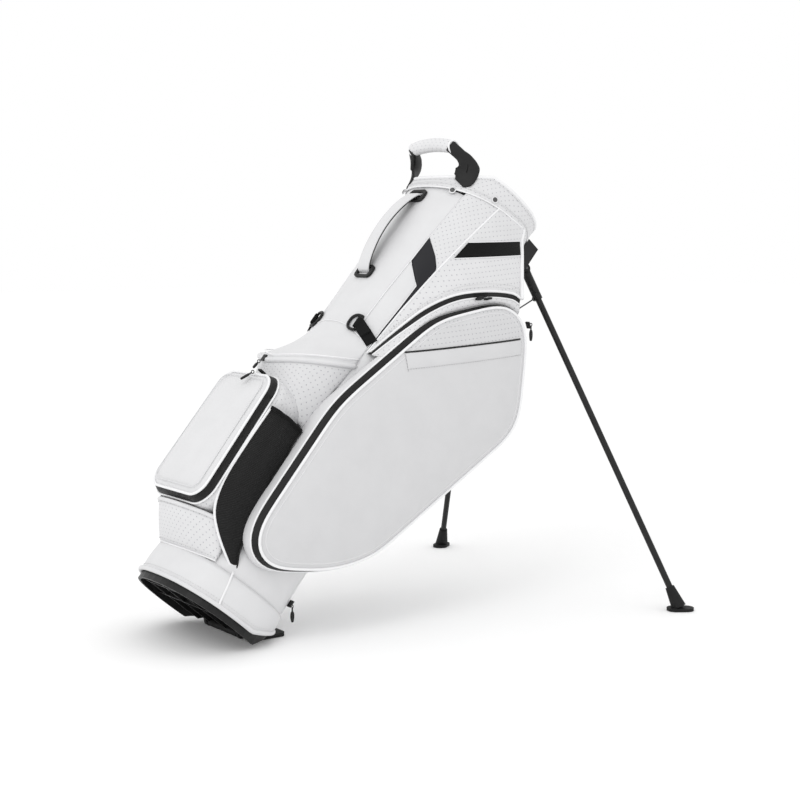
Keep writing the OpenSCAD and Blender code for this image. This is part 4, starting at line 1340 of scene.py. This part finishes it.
def build_pulls():
    """Zip pulls: a wire eye at the hinge, a short cord, and a flat teardrop grip."""
    for body, node in PULLS:
        hinge = hinge_place(body)
        middle = node_middle(node)
        reach = 2 * np.linalg.norm(middle - hinge)
        run = (middle - hinge) / np.linalg.norm(middle - hinge)
        wide = np.array([0.0, 1.0, 0.0]) if node in ("ball_pull", "valuables_pull") else np.cross(run,
                                                                                                  [0, 1.0, 0])
        thin = np.cross(run, wide)
        turn = np.linspace(0, 2 * math.pi, 20, endpoint=False)
        eye = hinge + 0.0026 * (np.cos(turn)[:, None] * run + np.sin(turn)[:, None] * thin) + run * 0.0018
        cord = hinge + run * np.linspace(0.004, 0.40 * reach, 6)[:, None]
        k = np.linspace(0, 1, 16)
        grip = hinge + run * blend_between(0.36 * reach, reach, k)[:, None]
        half = 0.0036 * np.clip(np.sin(np.pi * (0.06 + 0.86 * k ** 0.8)), 0.1, 1) ** 0.6
        body_mesh = ribbon_mesh(grip, np.tile(wide, (16, 1)), half, 0.0034)[:2]
        parts = [tube_mesh(eye, 0.0008, closed=True, around=6), tube_mesh(cord, 0.0013, around=8), body_mesh]
        points, faces = join_parts(parts)
        add_mesh(node + "_tab", points, faces, SOFT_PLASTIC, outward=False, body=body,
                 stands_for=(node,))


def build_rings():
    """D rings of thick moulded plastic: a straight bar on the hinge and a rounded bow."""
    for side, label in SIDES:
        node = "d_ring_" + label
        hinge = hinge_place(label + "_ring")
        away = node_middle(node) - hinge
        away[2] = 0
        away /= np.linalg.norm(away)
        up = np.array([0.0, 0.0, 1.0])
        bow = [(0.0, -0.0135), (0.006, -0.0145), (0.015, -0.0135), (0.021, -0.008), (0.0225, 0.0),
               (0.021, 0.008), (0.015, 0.0135), (0.006, 0.0145), (0.0, 0.0135)]
        path = np.array([hinge + away * a + up * b for a, b in bow])
        parts = [tube_mesh(smooth_path(path, 40), 0.0026, around=10),
                 tube_mesh(hinge + up * np.linspace(-0.0135, 0.0135, 4)[:, None], 0.0023, around=10)]
        points, faces = join_parts(parts)
        add_mesh("d_ring_bow_" + label, points, faces, PLASTIC, outward=False, body=label + "_ring",
                 stands_for=(node,))


def finish_cad():
    """Materials for the CAD nodes that stay in view."""
    chosen = {
        "base_tray": PLASTIC, "base_foot": RUBBER, "foot_pin": STEEL, "top_divider": LINING,
        "club_dividers": LINING, "stay_rods": STAY, "leg_bracket": PLASTIC,
        "grab_handle_trims": SOFT_PLASTIC, "leg_pins": STEEL, "rod_guides": PLASTIC, "push_rod": STEEL,
        "push_link": STEEL, "leg_knuckle": PLASTIC, "leg_boot": RUBBER, "wire_clip": PLASTIC,
        "leg": LEG_PAINT,
        "zip_sliders": PLASTIC}
    softened = ("base_tray", "base_foot", "leg_bracket", "grab_handle_trims", "top_divider", "rod_guides")
    for name, node in frame["nodes"].items():
        key = name.replace("_right", "").replace("_left", "")
        material = chosen.get(name) or chosen.get(key) or PLASTIC
        node.data.materials.clear()
        node.data.materials.append(material)
        if name in softened:
            rounding = node.modifiers.new("edges", "BEVEL")
            rounding.width = 0.0008
            rounding.segments = 2
            rounding.limit_method = "ANGLE"
            rounding.angle_limit = math.radians(50)


def build_stage():
    mesh = bpy.data.meshes.new("studio_floor")
    reach = 14
    mesh.from_pydata([(-reach, -reach, 0), (reach, -reach, 0), (reach, reach, 0), (-reach, reach, 0)],
                     [], [[0, 1, 2, 3]])
    mesh.materials.append(floor_surface())
    floor = bpy.data.objects.new("studio_floor", mesh)
    bpy.context.scene.collection.objects.link(floor)
    floor.location.z = -0.0005


add_camera()
set_world()
add_area_light("key", (-2.4, -1.2, 3.0), (0, 0, 0.4), 1.6, 20)
build_stage()
build_tube()
build_side_trim()
build_shoulder()
build_side_pockets()
build_arc_zips()
build_valuables()
build_ball_pocket()
build_low_pockets()
build_collar()
build_cuff()
build_lift_handle()
build_grab_handle()
build_ring_straps()
build_rings()
build_pulls()
finish_cad()

bpy.context.scene.view_settings.view_transform = "Standard"
